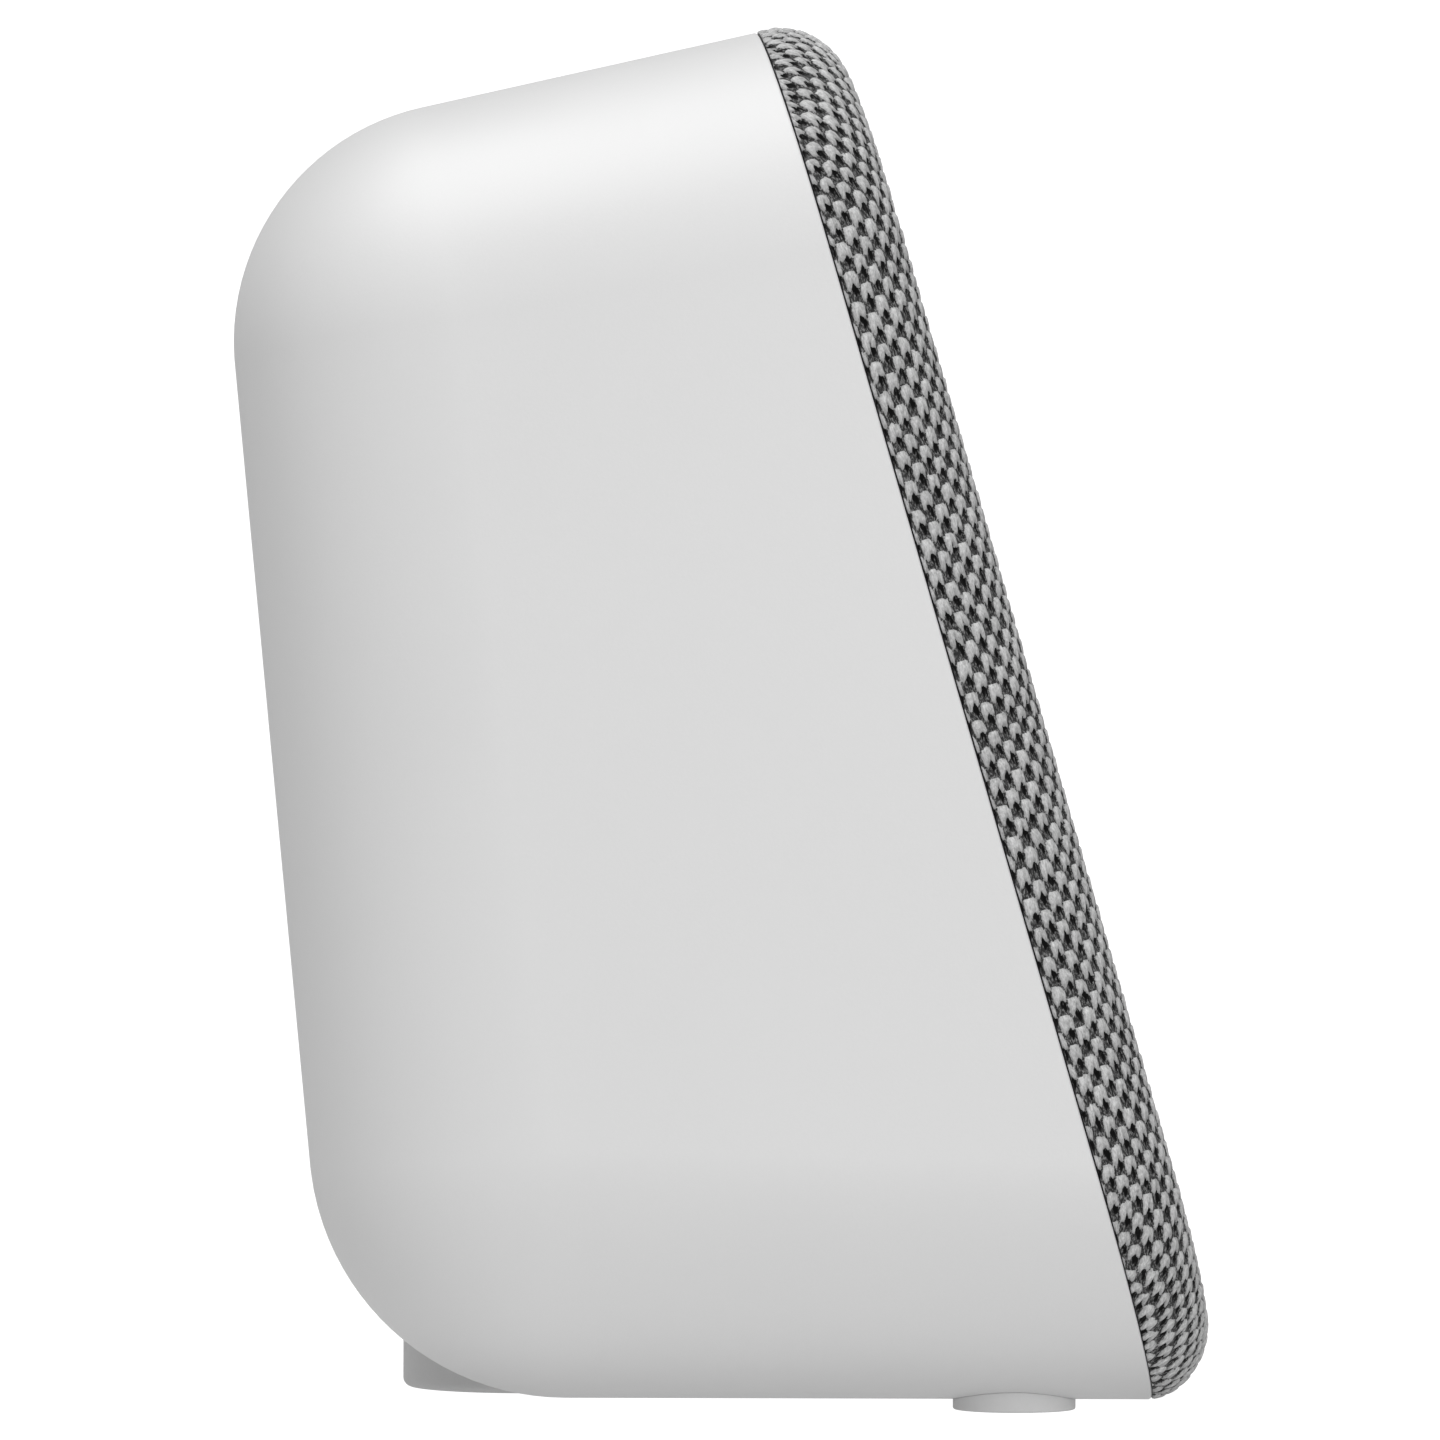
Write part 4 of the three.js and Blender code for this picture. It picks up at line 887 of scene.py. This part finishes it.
def cut_outline(corners, x, y):
    """A plain polygon, given anticlockwise, in the same form as the other outlines."""

    def outline(out):
        found = []
        for i, (px, py) in enumerate(corners):
            (ax, ay), (bx, by) = corners[i - 1], corners[(i + 1) % len(corners)]
            length = math.hypot(bx - ax, by - ay)
            found.append((x + px, y + py, (by - ay) / length, -(bx - ax) / length))
        return found

    return outline


def plus_corners(reach, half):
    quarter = [(reach, -half), (reach, half), (half, half)]
    found = []
    for _ in range(4):
        found += quarter
        quarter = [(-y, x) for x, y in quarter]
    return found


def key_marks(kind, x, y):
    if kind == "volume_down":
        return [boxed_outline(2 * MARK_REACH, MARK_LINE, 0.3, x, y, 4)]
    if kind == "volume_up":
        return [cut_outline(plus_corners(MARK_REACH, MARK_LINE / 2), x, y)]
    if kind == "play":
        arrow = [(-2.1, -1.7), (0.7, 0), (-2.1, 1.7)]
        return [cut_outline(arrow, x, y), boxed_outline(MARK_LINE, 3.2, 0.2, x + 1.9, y, 3)]
    return [round_outline(MARK_DOT, x, y, 24)]


mark_paint = moulded("grey_mark_paint", (0.2, 0.2, 0.2), (0.16, 0.16, 0.16), 3000.0, (0.5, 0.6), 0.1)
key_plastic = moulded("key_plastic", (0.74, 0.74, 0.74), (0.71, 0.71, 0.71), 3000.0, (0.4, 0.5), 0.2, 0.02)


def round_key(kind, x):
    skin, paint, y = Skin(), Skin(), KEYS_FROM_RIM
    profile = []
    for out, z, n_out, n_z in rounded_lip(KEY_EDGE, KEY_PROUD, 6, -1):
        profile.append((KEY_RADIUS + out, z, n_out, n_z))
    wide, (under, foot) = KEY_RADIUS + KEY_SKIRT, SKIRT_Z
    profile += [(KEY_RADIUS, under, 1, 0), (KEY_RADIUS, under, 0, 1), (wide, under, 0, 1)]
    profile += [(wide, under, 1, 0), (wide, foot, 1, 0), (wide, foot, 0, -1), (STEM_RADIUS, foot, 0, -1)]
    profile += [(STEM_RADIUS, foot, 1, 0), (STEM_RADIUS, STEM_END, 1, 0)]
    rows = turned(skin, top_place, x, y, profile)
    sunk = []
    sides = [(0, KEY_PROUD, 1, 0), (0, KEY_PROUD - MARK_DEPTH, 1, 0)]
    for outline in key_marks(kind, x, y):
        wall = rings(skin, top_place, outline, sides, inward=True)
        sunk.append(wall[0])
        paint.flat([wall[-1]], TOP_OUT)
    skin.flat([rows[0], *sunk], TOP_OUT)
    skin.flat([rows[-1]], -TOP_OUT)
    skin.build("key_" + kind, kind + "_button", "key_plastic", key_plastic, ["button_" + kind])
    paint.build("mark_" + kind, kind + "_button", "key_plastic", mark_paint)


for kind, x in zip(("volume_down", "play", "action", "volume_up"), KEY_X):
    round_key(kind, x)

# ---- Port panel ------------------------------------------------------------------------------
# A white tray let into the rear face, with a flange screwed behind the wall. Its floor has holes
# for the power plug, a service plug and a reset pin.
PANEL = boxed_outline(47.4, 16.4, 2.7, 0, PORT["up"])
PANEL_FLANGE = boxed_outline(52.4, 21.4, 5, 0, PORT["up"])
PANEL_HOLLOW = boxed_outline(45, 14, 1.5, 0, PORT["up"])
PANEL_HOLES = (
    round_outline(4.2, 13, PORT["up"], 48),
    boxed_outline(9.5, 3.8, 1.6, -5, PORT["up"]),
    round_outline(0.8, -17, PORT["up"], 24),
)
PANEL_EDGE = 0.3
PANEL_FRONT = -0.3
PANEL_FLOOR = -8
PANEL_BACK = -9.2
FLANGE_Z = (-2.7, -3.9)
HOLE_LIP = 0.2


def port_tray():
    skin = Skin()
    lip = rounded_lip(PANEL_EDGE, PANEL_FRONT, side=-1)
    sides = rings(skin, rear_place, PANEL, lip + [(0, FLANGE_Z[0], 1, 0)])
    lip = rounded_lip(PANEL_EDGE, PANEL_FRONT)
    hollow = rings(skin, rear_place, PANEL_HOLLOW, lip + [(0, PANEL_FLOOR, 1, 0)], inward=True)
    skin.flat([sides[0], hollow[0]], REAR_OUT)
    flange = rings(skin, rear_place, PANEL_FLANGE, [(0, z, 1, 0) for z in FLANGE_Z])
    skin.flat([flange[0], sides[-1]], REAR_OUT)
    tray = rings(skin, rear_place, PANEL, [(0, FLANGE_Z[1], 1, 0), (0, PANEL_BACK, 1, 0)])
    skin.flat([flange[1], tray[0]], -REAR_OUT)
    fronts, backs = [], []
    through = rounded_lip(HOLE_LIP, PANEL_FLOOR) + [(0, PANEL_BACK, 1, 0)]
    for outline in PANEL_HOLES:
        wall = rings(skin, rear_place, outline, through, inward=True)
        fronts.append(wall[0])
        backs.append(wall[-1])
    skin.flat([hollow[-1], *fronts], REAR_OUT)
    skin.flat([tray[1], *backs], -REAR_OUT)
    return skin


port_tray().build("port_tray", "cabinet", "housing", white_plastic, ["port_panel"])

# ---- Mute slider -----------------------------------------------------------------------------
# A small white slide in a dished slot high on the rear. Three grooves across its knob give grip,
# and a plate behind the wall carries it and keeps the slot covered.
MUTE_REST = -1.5
MUTE_PLATE = boxed_outline(12.8, 6, 0.8, MUTE_REST, mute_up, 4)
MUTE_KNOB = boxed_outline(5.4, 3.4, 0.6, MUTE_REST, mute_up, 4)
MUTE_GROOVES = [boxed_outline(0.5, 2.6, 0.2, MUTE_REST + x, mute_up, 3) for x in (-1.4, 0, 1.4)]
KNOB_FRONT = -0.2
KNOB_LIP = 0.2
GROOVE_DEPTH = 0.4
PLATE_Z = (-2.7, -3.7)


def mute_slide():
    skin = Skin()
    lip = rounded_lip(KNOB_LIP, KNOB_FRONT, side=-1)
    knob = rings(skin, rear_place, MUTE_KNOB, lip + [(0, PLATE_Z[0], 1, 0)])
    cuts = []
    wall = [(0, KNOB_FRONT, 1, 0), (0, KNOB_FRONT - GROOVE_DEPTH, 1, 0)]
    for outline in MUTE_GROOVES:
        groove = rings(skin, rear_place, outline, wall, inward=True)
        skin.flat([groove[1]], REAR_OUT)
        cuts.append(groove[0])
    skin.flat([knob[0], *cuts], REAR_OUT)
    plate = rings(skin, rear_place, MUTE_PLATE, [(0, z, 1, 0) for z in PLATE_Z])
    skin.flat([plate[0], knob[-1]], REAR_OUT)
    skin.flat([plate[1]], -REAR_OUT)
    return skin


mute_slide().build("mute_slide", "mute_knob", "key_plastic", key_plastic, ["mute_slider"])

# ---- Baffle, grille frame and sealing parts ------------------------------------------------------
# Black ribbed mouldings behind the knit: the baffle screwed into the cabinet on a foam cord, the
# slotted grille frame clipped over it, and rubber boots behind the microphone holes.
def wear(material, *names):
    """Gives a carried-over part its own finish."""
    for name in names:
        nodes[name].data.materials.clear()
        nodes[name].data.materials.append(material)


# Any of these finishes is one pattern with light scuffs over it.
scuffed, given, made = start_group(
    "scuffed_pattern",
    [
        ("Place", "Vector", (0, 0, 0)),
        ("Pattern", "Float", 0.5),
        ("Low", "Color", (0.1, 0.1, 0.1, 1)),
        ("High", "Color", (0.2, 0.2, 0.2, 1)),
        ("Roughness Low", "Float", 0.4),
        ("Roughness High", "Float", 0.5),
    ],
    [("Color", "Color"), ("Roughness", "Float"), ("Height", "Float")],
)
scuffs = sums(scuffed, "MULTIPLY_ADD", noise(scuffed, given["Place"], 60.0, 3.0), 0.3, -0.15)
share = sums(scuffed, "ADD", given["Pattern"], scuffs, clamp=True)
scuffed.links.new(blend_colour(scuffed, share, given["Low"], given["High"]), made["Color"])
scuffed.links.new(
    remap(scuffed, share, 0.0, 1.0, given["Roughness Low"], given["Roughness High"]), made["Roughness"]
)
scuffed.links.new(share, made["Height"])


def patterned(
    name, texture, settings, low, high, rough, metallic=0.0, bump=0.2, depth=0.05, stretch=(1, 1, 1)
):
    """A finish whose colour, roughness and relief follow one texture in the part's own place."""
    material, tree, shader = new_material(name)
    place = tree.nodes.new("ShaderNodeMapping")
    place.inputs["Scale"].default_value = stretch
    tree.links.new(tree.nodes.new("ShaderNodeTexCoord").outputs["Object"], place.inputs["Vector"])
    pattern = tree.nodes.new("ShaderNodeTex" + texture)
    for key, value in settings.items():
        if key in pattern.inputs:
            pattern.inputs[key].default_value = value
        else:
            setattr(pattern, key, value)
    tree.links.new(place.outputs[0], pattern.inputs["Vector"])
    values = {
        "Low": (*low, 1),
        "High": (*high, 1),
        "Roughness Low": rough[0],
        "Roughness High": rough[1],
    }
    group = lay_effect(tree, shader, scuffed, values, bump, depth)
    tree.links.new(place.outputs[0], group.inputs["Place"])
    tree.links.new(pattern.outputs["Distance" if texture == "Voronoi" else "Fac"], group.inputs["Pattern"])
    shader.inputs["Metallic"].default_value = metallic
    return material


black_plastic = moulded(
    "black_plastic", (0.036, 0.036, 0.038), (0.022, 0.022, 0.024), 1200.0, (0.45, 0.6), 0.4, 0.03
)
wear(black_plastic, "front_baffle", "grille_frame", "driver_basket", "radiator_frame")
foam = patterned(
    "closed_cell_foam",
    "Voronoi",
    {"Scale": 2200.0},
    low=(0.012, 0.012, 0.012),
    high=(0.045, 0.045, 0.045),
    rough=(0.85, 1.0),
    bump=0.6,
)
wear(foam, "baffle_seal")
boot_rubber = moulded(
    "black_rubber", (0.028, 0.028, 0.03), (0.016, 0.016, 0.017), 1600.0, (0.55, 0.75), 0.3, 0.03
)
wear(boot_rubber, "driver_surround", "radiator_surround", "microphone_left", "microphone_right")

# ---- Driver and radiator -------------------------------------------------------------------------
# A pressed cone of filled plastic on a rubber surround, with a cloth spider, a copper coil and a
# ferrite magnet between zinc-plated plates. The radiator is a heavier plate of the same plastic.
cone_plastic = patterned(
    "filled_cone_plastic",
    "Noise",
    {"Scale": 900.0, "Detail": 4.0},
    low=(0.02, 0.02, 0.023),
    high=(0.055, 0.055, 0.06),
    rough=(0.35, 0.55),
)
wear(cone_plastic, "driver_cone", "driver_dust_cap", "radiator_plate")
spider_cloth = patterned(
    "stiffened_cloth",
    "Magic",
    {"Scale": 900.0, "turbulence_depth": 1},
    low=(0.3, 0.14, 0.03),
    high=(0.55, 0.32, 0.1),
    rough=(0.7, 0.9),
    bump=0.5,
)
wear(spider_cloth, "driver_spider")
copper_wire = patterned(
    "copper_winding",
    "Wave",
    {"Scale": 700.0, "bands_direction": "Z"},
    low=(0.3, 0.09, 0.03),
    high=(0.75, 0.3, 0.14),
    rough=(0.25, 0.45),
    metallic=0.9,
    bump=0.6,
)
wear(copper_wire, "driver_voice_coil")
ferrite = patterned(
    "sintered_ferrite",
    "Noise",
    {"Scale": 1400.0, "Detail": 5.0},
    low=(0.03, 0.03, 0.033),
    high=(0.1, 0.1, 0.105),
    rough=(0.6, 0.8),
)
wear(ferrite, "driver_magnet")
zinc = patterned(
    "zinc_plated_steel",
    "Noise",
    {"Scale": 260.0, "Detail": 5.0},
    low=(0.42, 0.43, 0.44),
    high=(0.66, 0.67, 0.68),
    rough=(0.3, 0.5),
    metallic=1.0,
)
wear(zinc, "driver_top_plate", "driver_yoke", "radio_shield", "service_socket")
turned_zinc = patterned(
    "turned_zinc_screw",
    "Wave",
    {"Scale": 500.0, "wave_type": "RINGS", "rings_direction": "SPHERICAL"},
    low=(0.32, 0.33, 0.35),
    high=(0.6, 0.61, 0.63),
    rough=(0.25, 0.4),
    metallic=1.0,
)
wear(turned_zinc, *[f"baffle_screw_{i}" for i in range(1, 7)])
wear(turned_zinc, *[f"driver_screw_{i}" for i in range(1, 5)])

# ---- Boards, sockets and leads -------------------------------------------------------------------
# Green boards with a solder mask over their tracks carry the sockets, switches and capacitors.
# A brushed heat sink, a frosted light bar, flat ribbons and sleeved leads finish the inside.
board = patterned(
    "green_circuit_board",
    "Brick",
    {"Scale": 420.0, "Mortar Size": 0.06, "Brick Width": 1.6, "Row Height": 0.5},
    low=(0.012, 0.09, 0.035),
    high=(0.03, 0.2, 0.08),
    rough=(0.3, 0.45),
    bump=0.4,
)
wear(board, "main_board", "control_board", "socket_board", "light_board")
socket_plastic = moulded(
    "socket_plastic", (0.04, 0.04, 0.042), (0.026, 0.026, 0.028), 2000.0, (0.35, 0.5), 0.3, 0.02
)
wear(socket_plastic, "power_socket", "mute_switch", *[f"key_switch_{i}" for i in range(1, 5)])
brushed = patterned(
    "brushed_aluminium",
    "Noise",
    {"Scale": 900.0, "Detail": 3.0},
    low=(0.5, 0.51, 0.52),
    high=(0.72, 0.73, 0.74),
    rough=(0.3, 0.5),
    metallic=1.0,
    stretch=(1, 1, 0.03),
)
wear(brushed, "amplifier_heat_sink")
frosted = patterned(
    "frosted_acrylic",
    "Noise",
    {"Scale": 1500.0, "Detail": 2.0},
    low=(0.8, 0.82, 0.83),
    high=(0.9, 0.91, 0.92),
    rough=(0.4, 0.6),
)
wear(frosted, "light_guide")
sleeve = patterned(
    "capacitor_sleeve",
    "Wave",
    {"Scale": 26.0, "bands_direction": "Y", "Distortion": 0.0},
    low=(0.02, 0.022, 0.035),
    high=(0.09, 0.1, 0.13),
    rough=(0.2, 0.35),
)
wear(sleeve, "capacitor_1", "capacitor_2")
ribbon = patterned(
    "flat_ribbon",
    "Wave",
    {"Scale": 320.0, "bands_direction": "X"},
    low=(0.55, 0.55, 0.57),
    high=(0.84, 0.84, 0.86),
    rough=(0.35, 0.5),
    bump=0.5,
)
wear(ribbon, "control_ribbon", "wifi_antenna")
lead = patterned(
    "twisted_lead",
    "Wave",
    {"Scale": 110.0, "bands_direction": "DIAGONAL"},
    low=(0.02, 0.02, 0.02),
    high=(0.4, 0.02, 0.02),
    rough=(0.45, 0.6),
    bump=0.6,
    depth=0.1,
)
wear(lead, "driver_lead", "light_lead", "power_lead")
